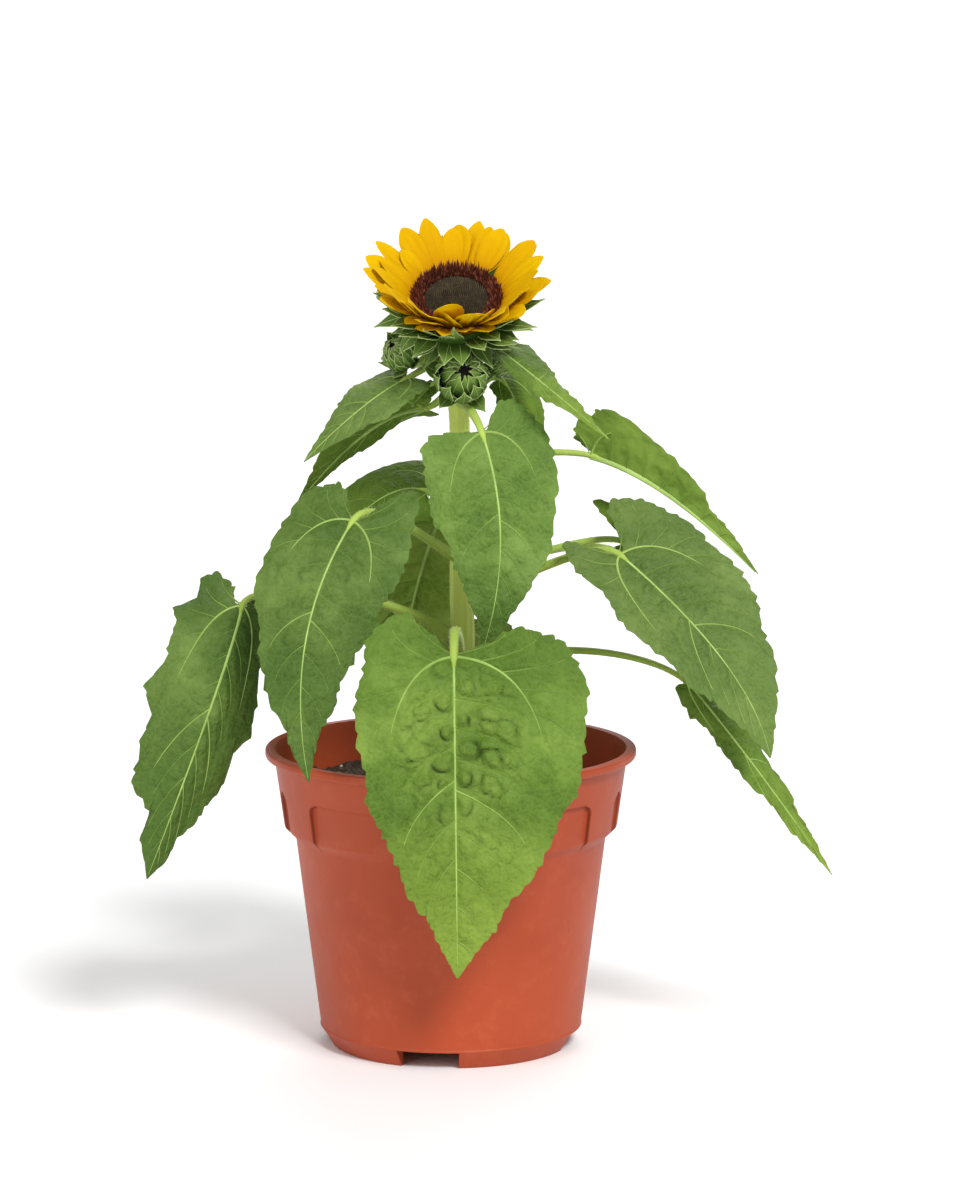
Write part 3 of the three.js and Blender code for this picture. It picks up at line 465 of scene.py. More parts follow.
def plain_look(name, dark, light, scale, roughness, depth=0.0005):
    look = Look(name, roughness)
    base = look.ramp(look.noise(scale, 4), (0.3, colour(dark)), (0.7, colour(light)))
    return look.finish(base, (look.noise(scale * 3), 0.35, depth))


def bract_look():
    """Bracts: deep green at the root and paler towards the tip."""
    dark, middle, light = map(colour, [(50, 78, 18), (76, 106, 34), (124, 152, 68)])
    look = Look("bract_green", 0.6, 0.2)
    base = look.ramp(look.mapped()["Y"], (0, dark), (0.35, middle), (1, light))
    mottled = look.mix(look.scaled(look.noise(60, 4), 0, 0.5), base, dark)
    return look.finish(mottled, (look.noise(400), 0.5, 0.001))


def ray_look():
    """Ray florets: orange at the root and golden above, each with a tone of its own. At the front the tone
    and the orange root are kept weaker, as painted light.
    """
    look = Look("ray_yellow", 0.7, 0.05)
    carried = look.mapped()
    base = look.ramp(carried["Y"], (0, colour((166, 96, 0))), (0.07, colour((190, 138, 0))),
                     (0.4, colour((208, 164, 0))), (1, colour((222, 184, 2))))
    streaks = look.noise(200, place=look.stretched((1, 1, 0.3)))
    shade = look.mix(look.scaled(streaks, 0, 0.55), base, colour((190, 134, 0)))
    toned = look.mix(look.scaled(carried["X"], 0, 0.4), shade, colour((188, 130, 0)))
    return look.finish(toned, (look.noise(420), 0.3, 0.0006))


def pot_look():
    """Matt plastic, a little worn, with painted shade along the steps between lugs and panels."""
    look = Look("pot_plastic", 0.5, 0.3)
    base = look.ramp(look.noise(14, 4), (0.3, colour((157, 61, 29))), (0.7, colour((171, 71, 36))))
    wear = look.fade(look.noise(95, 5, 0.7), (0.52, 0), (0.8, 0.3))
    worn = look.mix(wear, base, colour((192, 99, 64)))
    # Painted shade along the steps between lugs and panels.
    painted_step_shade = look.mix(look.scaled(look.mapped()["X"], 0, 0.8), worn, colour((84, 24, 10)))
    look.fill(look.shader, {"Roughness": look.scaled(look.noise(40, 4), 0.4, 0.6)})
    return look.finish(painted_step_shade, (look.noise(700), 0.12, 0.0003), (look.noise(9, 2), 0.1, 0.002))


# Tones of leaves: dark, middle and light mottles of the upper side and its tip, then the two
# of the underside
LEAF_TONES = {
    "fresh": [(70, 99, 27), (89, 117, 39), (118, 145, 59), (129, 153, 55), (100, 127, 43), (138, 160, 77)],
    "deep": [(61, 87, 29), (79, 104, 40), (106, 131, 62), (66, 93, 33), (96, 122, 44), (132, 154, 76)],
    # bright: painted light and shade, lighter than deep against the shadow of the head, with a dark tip
    # painted as the shaded lower part.
    "bright": [(75, 104, 37), (95, 124, 49), (121, 149, 71), (58, 86, 28), (100, 127, 46), (138, 160, 78)],
    # cool: its underside is lighter, painted light against the shade it lies in.
    "cool": [(62, 90, 30), (79, 108, 40), (102, 128, 55), (79, 108, 40), (106, 134, 44), (146, 168, 80)],
    "soft": [(73, 98, 41), (92, 116, 53), (117, 139, 71), (92, 117, 52), (98, 124, 46), (136, 158, 80)],
    # olive: its yellow-olive upper side is painted light, standing in for light shining through leaves lit
    # from behind.
    "olive": [(74, 102, 22), (88, 116, 30), (106, 134, 44), (92, 118, 30), (82, 110, 34), (118, 144, 58)],
}
TOPS = {tone: leaf_look(f"leaf_{tone}", shades[:4]) for tone, shades in LEAF_TONES.items()}
UNDERSIDES = {tone: under_look(f"underside_{tone}", shades[4:]) for tone, shades in LEAF_TONES.items()}
VEINS = vein_look("leaf_vein", (134, 164, 76), (168, 194, 104))
FINE_VEINS = vein_look("leaf_vein_fine", (116, 146, 64), (148, 174, 88))
HAIR = vein_look("stem_hair", (190, 200, 150), (220, 226, 190))
BRACT_EDGE = vein_look("bract_edge", (150, 176, 96), (190, 208, 140))
# Painted light: the near-white high end makes up for the shade of the flower head above the stem's top.
STEM = stem_look("stem_green", (134, 156, 54), (240, 252, 132))
PETIOLE = stem_look("petiole_green", (132, 156, 56), (168, 192, 86))
BRACT = bract_look()
RAYS = ray_look()
POT = pot_look()
RIM_DARK = plain_look("rim_dark", (74, 26, 14), (112, 48, 22), 300, 0.75)
RIM_LIGHT = plain_look("rim_light", (128, 62, 44), (172, 104, 78), 300, 0.75)
DISC_DARK = plain_look("disc_dark", (50, 42, 28), (78, 66, 44), 260, 0.85)
DISC_OLIVE = plain_look("disc_olive", (60, 52, 34), (92, 82, 54), 260, 0.85)
# Near-black painted shade for the hollow in each bud's opening
BUD_SHADE_HOLLOW = plain_look("bud_hollow_shade", (14, 14, 8), (34, 30, 18), 260, 0.9)
SOIL = plain_look("compost_dark", (26, 19, 14), (58, 44, 33), 120, 0.95, 0.002)
CRUMB = plain_look("compost_crumb", (38, 28, 20), (84, 64, 48), 200, 0.95, 0.001)
PERLITE = plain_look("compost_perlite", (186, 180, 168), (222, 218, 208), 300, 0.9)


# Meshes

class Shape:
    """Points and faces gathered for one mesh, with a material number for each face and two
    values carried by each point."""

    def __init__(self):
        self.points = []
        self.faces = []
        self.kinds = []
        self.maps = []
        self.count = 0

    def add(self, points, faces, kind=0, uv=None):
        points = np.asarray(points, float).reshape(-1, 3)
        for part in faces:
            self.faces.append(np.asarray(part) + self.count)
            self.kinds.append(np.full(len(part), kind))
        self.points.append(points)
        self.maps.append(np.zeros((len(points), 2)) if uv is None else uv)
        self.count += len(points)

    def mesh(self, name, materials, crease, mapped):
        """Mesh in metres, smooth but for edges sharper than a crease angle in degrees."""
        mesh = bpy.data.meshes.new(name)
        points = np.concatenate(self.points) / 1000
        corners = np.concatenate([part.ravel() for part in self.faces]).astype(np.int32)
        sizes = np.concatenate([np.full(len(part), part.shape[1]) for part in self.faces])
        mesh.vertices.add(len(points))
        mesh.vertices.foreach_set("co", points.ravel().astype(np.float32))
        mesh.loops.add(len(corners))
        mesh.loops.foreach_set("vertex_index", corners)
        mesh.polygons.add(len(sizes))
        mesh.polygons.foreach_set("loop_start", (np.cumsum(sizes) - sizes).astype(np.int32))
        mesh.polygons.foreach_set("material_index", np.concatenate(self.kinds).astype(np.int32))
        mesh.update(calc_edges=True)
        mesh.validate()
        if mapped:
            carried = np.concatenate(self.maps)[corners]
            mesh.uv_layers.new(name="carried").data.foreach_set("uv", carried.ravel().astype(np.float32))
        for material in materials:
            mesh.materials.append(material)
        mesh.shade_smooth()
        mesh.set_sharp_from_angle(angle=math.radians(crease))
        return mesh

    def piece(self, name, materials, slot, node, mapped=False):
        add_piece(name, self.mesh(name, materials, CREASES[slot], mapped), node)


def add_piece(name, mesh, node):
    """Adds a mesh to the scene as a piece that stands for a CAD node."""
    thing = bpy.data.objects.new(name, mesh)
    bpy.context.scene.collection.objects.link(thing)
    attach(thing, "root")
    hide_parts(node)


def unit(vectors):
    vectors = np.asarray(vectors, float)
    return vectors / np.linalg.norm(vectors, axis=-1, keepdims=True)


def circle(count):
    return np.arange(count) * 2 * np.pi / count


def around(count, first, second):
    """Rings of points round the origin, each spanned by a row of the two arrays of axes."""
    angle = circle(count)[None, :, None]
    return np.cos(angle) * first[:, None] + np.sin(angle) * second[:, None]


def level_ring(radius, height, count, middle=(0, 0)):
    angle = circle(count)
    x = middle[0] + radius * np.cos(angle)
    y = middle[1] + radius * np.sin(angle)
    return np.stack([x, y, np.full(count, height)], -1)


def closed_quads(rings, count):
    """Quads of a grid of points that closes on itself both ways."""
    ring, spot = np.meshgrid(np.arange(rings), np.arange(count), indexing="ij")
    after, above = (ring + 1) % rings, (spot + 1) % count
    corners = [ring * count + spot, after * count + spot, after * count + above, ring * count + above]
    return np.stack(corners, -1).reshape(-1, 4)


def ring_faces(rows, sides):
    """Quads between rings that run counter-clockwise round the way they follow each other."""
    row, side = np.meshgrid(np.arange(rows - 1), np.arange(sides), indexing="ij")
    after = (side + 1) % sides
    corners = [row * sides + side, row * sides + after, (row + 1) * sides + after, (row + 1) * sides + side]
    return np.stack(corners, -1).reshape(-1, 4)


def add_rings(shape, rings, kind=0):
    """Adds a closed tube through rings, each end closed by a fan to its middle."""
    rings = np.asarray(rings, float)
    rows, sides = rings.shape[:2]
    side = np.arange(sides)
    after = (side + 1) % sides
    first = rows * sides
    last = first - sides
    start = np.stack([np.full(sides, first), after, side], -1)
    end = np.stack([np.full(sides, first + 1), last + side, last + after], -1)
    points = np.concatenate([rings.reshape(-1, 3), [rings[0].mean(0), rings[-1].mean(0)]])
    shape.add(points, [ring_faces(rows, sides), np.concatenate([start, end])], kind)


def add_sheet(shape, upper, lower, uv, under=0):
    """Adds a closed thin sheet between two grids of points, with its quads split alike on both."""
    rows, columns = upper.shape[:2]
    place = np.arange(rows * columns).reshape(rows, columns)
    quads = np.stack([place[:-1, :-1], place[1:, :-1], place[1:, 1:], place[:-1, 1:]], -1).reshape(-1, 4)
    edge = np.concatenate([place[:-1, 0], place[-1, :-1], place[:0:-1, -1], place[0, :0:-1]])
    after = np.roll(edge, -1)
    total = rows * columns
    walls = np.stack([after, edge, edge + total, after + total], -1)
    below = np.roll(quads[:, ::-1], 1, axis=1) + total
    points = np.concatenate([upper.reshape(-1, 3), lower.reshape(-1, 3)])
    shape.add(points, [quads, walls, below], 0, np.concatenate([uv.reshape(-1, 2)] * 2))
    shape.kinds[-1][:] = under


def add_turned(shape, profile, segments, place, kind=0):
    """Adds a body turned about +Z from a closed profile of [radius, height] pairs."""
    radius, height = np.array(profile, float).T
    angle = circle(segments)[:, None]
    rings = np.stack(np.broadcast_arrays(np.cos(angle) * radius, np.sin(angle) * radius, height), -1)
    shape.add(place(rings.reshape(-1, 3)), [closed_quads(segments, len(radius))], kind)


def spline(points, share):
    """Smooth curve through a list of points, at shares of its run."""
    points = np.asarray(points, float)
    last = len(points) - 1
    place = np.asarray(share) * last
    index = np.minimum(place.astype(int), last - 1)
    t = (place - index)[..., None]
    a, b, c, d = (points[np.clip(index + step, 0, last)] for step in (-1, 0, 1, 2))
    return 0.5 * (2 * b + (c - a) * t + (2 * a - 5 * b + 4 * c - d) * t ** 2
                  + (3 * b - a - 3 * c + d) * t ** 3)


def bezier(points, t):
    """Point and direction of a Bezier curve with three or four points."""
    points = np.asarray(points, float)
    t = np.asarray(t, float)[..., None]
    degree = len(points) - 1
    weights = [math.comb(degree, k) * t ** k * (1 - t) ** (degree - k) for k in range(degree + 1)]
    steps = [math.comb(degree - 1, k) * t ** k * (1 - t) ** (degree - 1 - k) for k in range(degree)]
    place = sum(weight * point for weight, point in zip(weights, points))
    along = sum(weight * (after - before) for weight, before, after in zip(steps, points, points[1:]))
    return place, unit(along)


def limb_rings(points, radius, start, sides, shares, relief):
    """Rings of a limb along a Bezier curve. relief gives the radius's factor at angles and shares."""
    centre, along = bezier(points, shares)
    across = unit(start - (along @ start)[:, None] * along)
    reach = radius(shares)[:, None] * relief(circle(sides)[None, :], shares[:, None])
    return centre[:, None] + reach[..., None] * around(sides, across, np.cross(along, across))


def add_hairs(shape, rings, count, length, droop=HAIR_DROOP):
    """Scatters short pointed hairs over a limb's rings, in the limb's second material."""
    rows, sides = rings.shape[:2]
    row = random.integers(1, rows - 2, count)
    side = random.integers(0, sides, count)
    share = random.random((count, 1))
    foot = rings[row, side] * share + rings[row + 1, (side + 1) % sides] * (1 - share)
    out = unit(foot - rings[row].mean(1) + 1e-6)
    lean = unit(random.normal(0, 1, (count, 3)))
    way = unit(out + 0.45 * lean - droop * np.array([0, 0, 1]))
    tip = foot + way * length * (0.5 + random.random((count, 1)))
    wide = unit(np.cross(way, lean)) * HAIR_HALF_WIDTH
    other = unit(np.cross(way, wide)) * HAIR_HALF_WIDTH
    first = 4 * np.arange(count)[:, None]
    faces = np.concatenate([first + corner for corner in ([0, 1, 3], [1, 2, 3], [2, 0, 3])])
    shape.add(np.stack([foot - wide, foot + wide, foot + other, tip], 1), [faces], 1)


# Stem

HEAD_AXIS = np.array([0, -math.sin(HEAD_TURN), math.cos(HEAD_TURN)])
STEM_TIP = HEAD_CENTRE - (HEAD_DEPTH + GAP) * HEAD_AXIS
STEM_CURVE = [STEM_FOOT, STEM_FOOT + [0, 0, STEM_RISE], STEM_TIP - STEM_NECK * HEAD_AXIS, STEM_TIP]
STEM_HEIGHT = STEM_TIP[2] - STEM_FOOT[2]


def stem_radius(share):
    flare = STEM_FLARE * np.maximum(0, 1 - share * STEM_HEIGHT / STEM_FLARE_HEIGHT)
    return STEM_FOOT_RADIUS + (STEM_TOP_RADIUS - STEM_FOOT_RADIUS) * share + flare


def stem_relief(angle, share):
    """Factor of the stem's radius: ridges along it and knots where petioles leave it."""
    height = STEM_FOOT[2] + share * STEM_HEIGHT
    knots = sum(np.exp(-((height - leaf["node"]) / 4) ** 2) for leaf in LEAVES)
    ridges = 0.035 * np.cos(STEM_RIDGES * angle + 2 * np.sin(5 * share))
    return 0.97 + ridges + 0.05 * np.minimum(knots, 1.2) + 0.012 * np.sin(37 * share + angle)


def stem_axis_at(height):
    places, _ = bezier(STEM_CURVE, np.linspace(0, 1, 2001))
    return places[np.searchsorted(places[:, 2], height)]


def stem_piece():
    shape = Shape()
    shares = np.linspace(-STEM_SUNK, 1, STEM_RINGS)
    front = np.array([0, -1.0, 0])
    rings = limb_rings(STEM_CURVE, stem_radius, front, 6 * STEM_RIDGES, shares, stem_relief)
    add_rings(shape, rings)
    add_hairs(shape, rings, STEM_HAIRS, STEM_HAIR_LENGTH)
    shape.piece("stem_ridged", [STEM, HAIR], "stem", "stem")


# Leaves

class Rib:
    """Midrib of a leaf: its length, and the frame across it at distances from the petiole."""

    def __init__(self, leaf):
        base, mid, tip = (np.array(leaf[key], float) for key in ("base", "mid", "tip"))
        self.points = [base, 2 * mid - (base + tip) / 2, tip]
        self.shares = np.linspace(0, 1, 401)
        places, _ = bezier(self.points, self.shares)
        steps = np.linalg.norm(np.diff(places, axis=0), axis=1)
        self.run = np.concatenate([[0], np.cumsum(steps)])
        self.length = self.run[-1]
        self.scale = min(1, self.length / FULL_LENGTH)
        self.faces = unit(leaf["face"])

    def frame(self, distance):
        share = np.clip(distance / self.length, 0, 1)
        centre, along = bezier(self.points, np.interp(share * self.length, self.run, self.shares))
        centre = centre + along * np.minimum(distance, 0)[..., None]
        face = self.faces[0] * (1 - share[..., None]) + self.faces[1] * share[..., None]
        face = unit(face - (face * along).sum(-1, keepdims=True) * along)
        return centre, along, face, np.cross(face, along)


def per_side(leaf, key, across):
    """Value of a leaf's left or right half, by the side of the midrib that each point is on."""
    return np.where(across < 0, *leaf[key])


def blade_point(leaf, rib, distance, across, lift):
    """Points of a leaf's surface: distance along the midrib, distance across it, lift off it."""
    reach = np.abs(across)
    share = reach / per_side(leaf, "half", across)
    fold = np.radians(per_side(leaf, "fold", across))
    curl = np.radians(per_side(leaf, "curl", across))
    angle = fold + curl * share / 2
    slope = fold + curl * share
    centre, _, face, side = rib.frame(distance)
    level = reach * np.cos(angle)
    out = np.maximum(level - lift * np.sin(slope), BLADE_MITRE * level)
    up = reach * np.sin(angle) + lift * np.cos(slope)
    return centre + (np.where(across < 0, -1, 1) * out)[..., None] * side + up[..., None] * face


def blade_edge(leaf, rib, share, side):
    """Edge of the outline on one side of the midrib: distance along it and across it."""
    along, across = np.moveaxis(spline(BLADE_OUTLINE, share), -1, 0)
    reach = np.where(along < 0, along * leaf["lobe"][side], np.maximum(along, 0) ** leaf["belly"][side])
    return np.stack([reach * rib.length, across * leaf["half"][side] + BLADE_ROOT_HALF * (1 - share) ** 12])


def tooth_offset(leaf, rib, place, whole, phase):
    """How far forward-pointing teeth, uneven in size, and shallow waves move the outline out, at
    places along its whole run."""
    wander = place / (TOOTH_PITCH * rib.scale ** 0.5) + 0.35 * np.sin(place / 11 + phase)
    tooth = wander % 1
    size = 0.55 + 0.45 * np.sin(np.floor(wander) * 2.4 + phase)
    saw = np.where(tooth < TOOTH_RISE, tooth / TOOTH_RISE, (1 - tooth) / (1 - TOOTH_RISE)) - 0.5
    wave = np.sin(place / 6.5 + 2 * phase) + 0.6 * np.sin(place / 3.7 + phase)
    taper = np.clip(place / 14, 0, 1) * np.clip((whole - place) / 32, 0, 1)
    return rib.scale ** 0.5 * taper * (TOOTH_DEPTH * size * saw + leaf["wave"] * wave)


def toothed_edge(leaf, rib, share, side, phase):
    """Edge of the outline with its teeth and waves."""
    step = 1e-3
    way = (blade_edge(leaf, rib, np.minimum(share + step, 1), side)
           - blade_edge(leaf, rib, np.maximum(share - step, 0), side))
    way = way / np.maximum(np.linalg.norm(way, axis=0), 1e-9)
    fine = np.linspace(0, 1, 600)
    outline = blade_edge(leaf, rib, fine, side)
    run = np.concatenate([[0], np.cumsum(np.linalg.norm(np.diff(outline, axis=1), axis=0))])
    offset = tooth_offset(leaf, rib, np.interp(share, fine, run), run[-1], phase)
    return blade_edge(leaf, rib, share, side) + np.stack([-way[1], way[0]]) * offset


def side_vein(leaf, rib, side, start, goal, bow):
    """Points of a vein [distance, across] from a start towards a place on the outline, which
    goal gives as [share of the outline, how far it gets]."""
    along, across = blade_edge(leaf, rib, np.array(goal[0]), side)
    end = start + goal[1] * (np.array([along, across if side else -across]) - start)
    bend = start + (end - start) * [bow, 0.8]
    return bezier([start, bend, end], np.linspace(0, 1, VEIN_POINTS))[0]


def side_veins(leaf, rib):
    """Side veins as (points [distance, across], width at the start) in the leaf's own plane."""
    scale = min(1.15, (rib.length / 120) ** 0.5)
    veins = []
    for side in (0, 1):
        for index, (start, end_share, far, width) in enumerate(SIDE_VEINS):
            shift = 0.03 * side if index > 1 else 0
            origin = np.array([(start + shift) * rib.length, 0.0])
            path = side_vein(leaf, rib, side, origin, (end_share, far), 0.08 if index == 1 else 0.4)
            veins.append((path, width * scale))
            if index == 1:
                basal = path
        if leaf["half"][side] < BRANCHED_HALF:
            continue
        for start, end_share, width in BASAL_BRANCHES:
            fork = basal[int(start * (VEIN_POINTS - 1))]
            veins.append((side_vein(leaf, rib, side, fork, (end_share, 0.86), 0.35), width * scale))
    return veins


def ruffle_lift(leaf, rib, distance, across, seed):
    """Height of the wavy margin over the blade's plain surface."""
    out = np.abs(across) / per_side(leaf, "half", across)
    wave = np.sin(distance / (7.5 * rib.scale + 2) + seed + np.where(across < 0, 0, 2))
    return leaf["ruffle"] * rib.scale * out ** 3 * wave * np.clip(distance / 20 + 1, 0, 1)


def distance_to(veins, points):
    """Shortest distance from points in the leaf's plane to its side veins."""
    starts = np.concatenate([path[:-1] for path, _ in veins])
    steps = np.concatenate([np.diff(path, axis=0) for path, _ in veins])
    flat = points.reshape(-1, 2)
    best = np.full(len(flat), np.inf)
    for start, step in zip(starts, steps):
        away = flat - start
        share = np.clip((away @ step) / max((step ** 2).sum(), 1e-9), 0, 1)
        best = np.minimum(best, ((away - share[:, None] * step) ** 2).sum(1))
    return np.sqrt(best).reshape(points.shape[:-1])


def domes(points, pitch, seed):
    """Rounded cells over a plane, 1 at their middles and 0 along their borders."""
    cell = points / pitch
    nearest = np.full(points.shape[:-1], np.inf)
    second = nearest.copy()
    for shift in np.ndindex(3, 3):
        home = np.floor(cell) + shift - 1
        mixed = np.sin(home @ np.array([127.1, 311.7]) + seed) * 43758.5453
        other = np.sin(home @ np.array([269.5, 183.3]) + seed) * 28001.8384
        spot = home + 0.15 + 0.7 * np.stack([mixed % 1, other % 1], -1)
        gap = np.linalg.norm(cell - spot, axis=-1)
        second = np.minimum(second, np.maximum(gap, nearest))
        nearest = np.minimum(nearest, gap)
    return 1 - np.exp(-3.5 * (second - nearest))


def blisters(rib, distance, across, seed):
    """Round blisters in a row along each side of the midrib: their height from 0 to 1, and
    the crescent of shade along the outer side of each."""
    pitch = BLISTER_PITCH * rib.scale ** 0.5
    wander = distance / pitch + 0.12 * np.sin(distance / 9 + seed) + np.where(across < 0, 0, 0.3)
    half = BLISTER_HALF * rib.scale ** 0.5 * (0.85 + 0.25 * np.sin(2.3 * np.floor(wander) + seed))
    along = (wander % 1 - 0.5) * pitch / (1.15 * half)
    away = (np.abs(across) - 0.4 - half) / half
    ring = np.sqrt(along ** 2 + away ** 2)
    crescent = np.exp(-((ring - 1.08) / 0.14) ** 2) * np.clip(0.3 + 0.7 * (away + 0.6 * along), 0, 1)
    return np.sqrt(np.clip(1 - ring ** 2, 0, 1)), crescent


def quilting(leaf, rib, veins, distance, across, seed):
    """Height of the soft quilting between the veins, and how much painted shade each point takes.
    It is strongest about a third of the way along the midrib, and fades towards veins and margin."""
    plane = np.stack([distance, across], -1)
    reach = np.abs(across)
    out = reach / per_side(leaf, "half", across)
    strength = leaf["quilt"] * np.exp(-((distance / rib.length - 0.3) / 0.22) ** 2)
    large = domes(plane, QUILT_PITCH * rib.scale ** 0.5, seed)
    small = domes(plane, FINE_QUILT_PITCH * rib.scale ** 0.5, seed + 5)
    beyond = np.clip((reach - 9 * rib.scale) / 4, 0, 1) * np.clip((34 - reach) / 12, 0.15, 1)
    cells = (large + 0.5 * small) * (0.5 + 0.5 * np.exp(-(out / 0.45) ** 2)) * (0.6 + strength * beyond)
    raised, crescent = blisters(rib, distance, across, seed)
    away = np.minimum(distance_to(veins, plane), reach)
    inner = np.clip((1 - distance / rib.length) / 0.15, 0, 1) * (1 - np.exp(-(away / 2.3) ** 2))
    inner = inner * np.clip((1.05 - out) / 0.3, 0, 1)
    height = QUILT_RELIEF * cells + BLISTER_RELIEF * strength * raised
    # Painted shade: crescents on the outer sides of the blisters, the borders of the large cells and a band
    # along the midrib.
    crease = crescent + 0.5 * beyond * (1 - large) ** 4 + 0.16 * np.exp(-(reach / 20) ** 2)
    return rib.scale * inner * height, np.clip(inner * strength * crease, 0, 1)


def vein_rings(leaf, rib, path, widths, lift, below):
    """Three-sided strip along a path in the leaf's plane, standing off one face of the blade.
    Above the blade it sinks in towards its end."""
    way = np.gradient(path, axis=0)
    way = way / np.maximum(np.linalg.norm(way, axis=1, keepdims=True), 1e-9)
    side = np.stack([-way[:, 1], way[:, 0]], -1)
    half = BLADE_THICKNESS / 2
    if below:
        sign = -1
        foot = np.full_like(widths, half - 0.25)
        crest = half + 0.15 + 0.7 * widths
    else:
        sign = 1
        foot = np.full_like(widths, half - 0.15)
        crest = half + 0.34 + 0.12 * widths - VEIN_SINK * np.linspace(0, 1, len(path)) ** 4
        crest = np.maximum(crest, foot + 0.03)
    ring = []
    for shift, height in [(0.5, foot), (0.0, crest), (-0.5, foot)][::sign]:
        spot = path + side * (shift * widths)[:, None]
        ring.append(blade_point(leaf, rib, spot[:, 0], spot[:, 1], lift + sign * height))
    return np.stack(ring, 1)


def blade_plane(leaf, rib, rows, columns, seed):
    """Grid of the blade in its own plane, out to its toothed edges."""
    share = np.linspace(0, 1, rows)
    centre = (rib.length * share ** BLADE_FAN)[:, None]
    plane = np.zeros((rows, len(columns), 2))
    for side, part in ((0, columns < 0), (1, columns >= 0)):
        out = np.abs(columns[part])[None, :]
        rim = out ** 9
        plain = blade_edge(leaf, rib, share, side)[..., None]
        toothed = toothed_edge(leaf, rib, share, side, seed + side)[..., None]
        along, across = plain * (1 - rim) + toothed * rim
        plane[:, part, 0] = centre + (along - centre) * out ** BLADE_SWEEP
        plane[:, part, 1] = across * out * (1 if side else -1)
    return plane


def leaf_piece(leaf, seed):
    rib = Rib(leaf)
    veins = side_veins(leaf, rib)
    rows = int(np.clip(rib.length + max(leaf["half"]), 40, 200))
    wide = int(np.clip(max(leaf["half"]) / COLUMN_SPACING, 6, 46))
    columns = np.linspace(-1, 1, 2 * wide + 1)
    distance, across = np.moveaxis(blade_plane(leaf, rib, rows, columns, seed), -1, 0)
    quilt, crease = quilting(leaf, rib, veins, distance, across, seed)
    lift = quilt + ruffle_lift(leaf, rib, distance, across, seed)
    half = BLADE_THICKNESS / 2 * (0.35 + 0.65 * (1 - np.abs(columns) ** 6))[None, :]
    upper = blade_point(leaf, rib, distance, across, lift + half)
    lower = blade_point(leaf, rib, distance, across, lift - half)
    shape = Shape()
    # The first value each point carries is its share of painted shade in the creases; the second is its
    # share of the length.
    add_sheet(shape, upper, lower, np.stack([crease, np.clip(distance / rib.length, 0, 1)], -1), 1)
    for path, width in veins:
        widths = width * (1 - 0.7 * np.linspace(0, 1, len(path)))
        level = ruffle_lift(leaf, rib, *path.T, seed)
        for below, count in ((False, VEIN_POINTS), (True, VEIN_POINTS_BELOW)):
            ring = vein_rings(leaf, rib, path[:count], widths[:count], level[:count], below)
            add_rings(shape, ring, 2 if width > FINE_VEIN_WIDTH else 3)
    add_midrib(shape, leaf, rib)
    materials = [TOPS[leaf["tone"]], UNDERSIDES[leaf["tone"]], VEINS, FINE_VEINS]
    shape.piece("blade_" + leaf["name"], materials, "leaf", "leaf_" + leaf["name"], True)
    return rib


def petiole_radius(leaf, numbers):
    return numbers[0] + numbers[1] * sum(leaf["half"]) / 2


def add_midrib(shape, leaf, rib):
    """Rib along the middle: a narrow pale ridge above the blade and a rounded one below it."""
    share = np.linspace(0, 0.985, 80)
    wide = (petiole_radius(leaf, PETIOLE_TIP) * (1 - share) ** 0.9 + 0.22)[:, None]
    top = BLADE_THICKNESS / 2 + 0.15 + 0.1 * wide
    bottom = -BLADE_THICKNESS / 2 - 1.1 * wide
    centre, _, face, side = rib.frame(share * rib.length)
    middle = centre + (top + bottom) / 2 * face
    add_rings(shape, middle[:, None] + around(12, 0.55 * wide * side, (top - bottom) / 2 * face), 2)


def petiole_relief(angle, share):
    """Factor of a petiole's radius: a shallow groove along its upper side and fine ridges."""
    groove = -0.14 * np.exp(-((angle - math.pi / 2) / 0.45) ** 2)
    return 0.97 + groove + 0.03 * np.cos(7 * angle) + 0 * share


def petiole_tail(leaf, rib):
    """Rings that carry the petiole on into the blade's midrib and let it run out there."""
    tip = petiole_radius(leaf, PETIOLE_TIP)
    share = np.linspace(0, 1, 9)[1:]
    centre, _, face, side = rib.frame(PETIOLE_END + min(PETIOLE_TAIL, rib.length / 6) * share)
    size = 0.25 + (tip - 0.25) * (1 - share) ** 1.4
    centre = centre - (0.45 * (tip - size) * share)[:, None] * face
    return centre[:, None] + size[:, None, None] * around(LIMB_SIDES, side, face)


def petiole_piece(leaf, rib):
    start = stem_axis_at(leaf["node"])
    centre, along, _, side = (part[0] for part in rib.frame(np.array([0.0])))
    root = petiole_radius(leaf, PETIOLE_ROOT)
    tip = petiole_radius(leaf, PETIOLE_TIP)
    end = centre + along * PETIOLE_END
    reach = np.linalg.norm(end - start)
    rise = math.radians(leaf["rise"])
    leaving = unit((end - start) * [1, 1, 0]) * math.cos(rise) + [0, 0, math.sin(rise)]
    points = [start, start + leaving * reach * 0.4, end - along * leaf["hook"], end]

    def radius(share):
        return root + (tip - root) * share + 0.35 * root * np.exp(-share * reach / 7)

    shares = np.linspace(0, 1, int(np.clip(reach / 1.6, 14, 60)))
    rings = limb_rings(points, radius, side, LIMB_SIDES, shares, petiole_relief)
    shape = Shape()
    add_rings(shape, np.concatenate([rings, petiole_tail(leaf, rib)]))
    add_hairs(shape, rings, int(reach * PETIOLE_HAIRS), PETIOLE_HAIR_LENGTH)
    shape.piece("stalk_" + leaf["name"], [PETIOLE, HAIR], "stem", "petiole_" + leaf["name"])


# Flower head

def turn_x(points, angle):
    c, s = math.cos(angle), math.sin(angle)
    return points @ np.array([[1, 0, 0], [0, c, -s], [0, s, c]]).T


def turn_z(points, angle):
    c, s = math.cos(angle), math.sin(angle)
    return points @ np.array([[c, -s, 0], [s, c, 0], [0, 0, 1]]).T


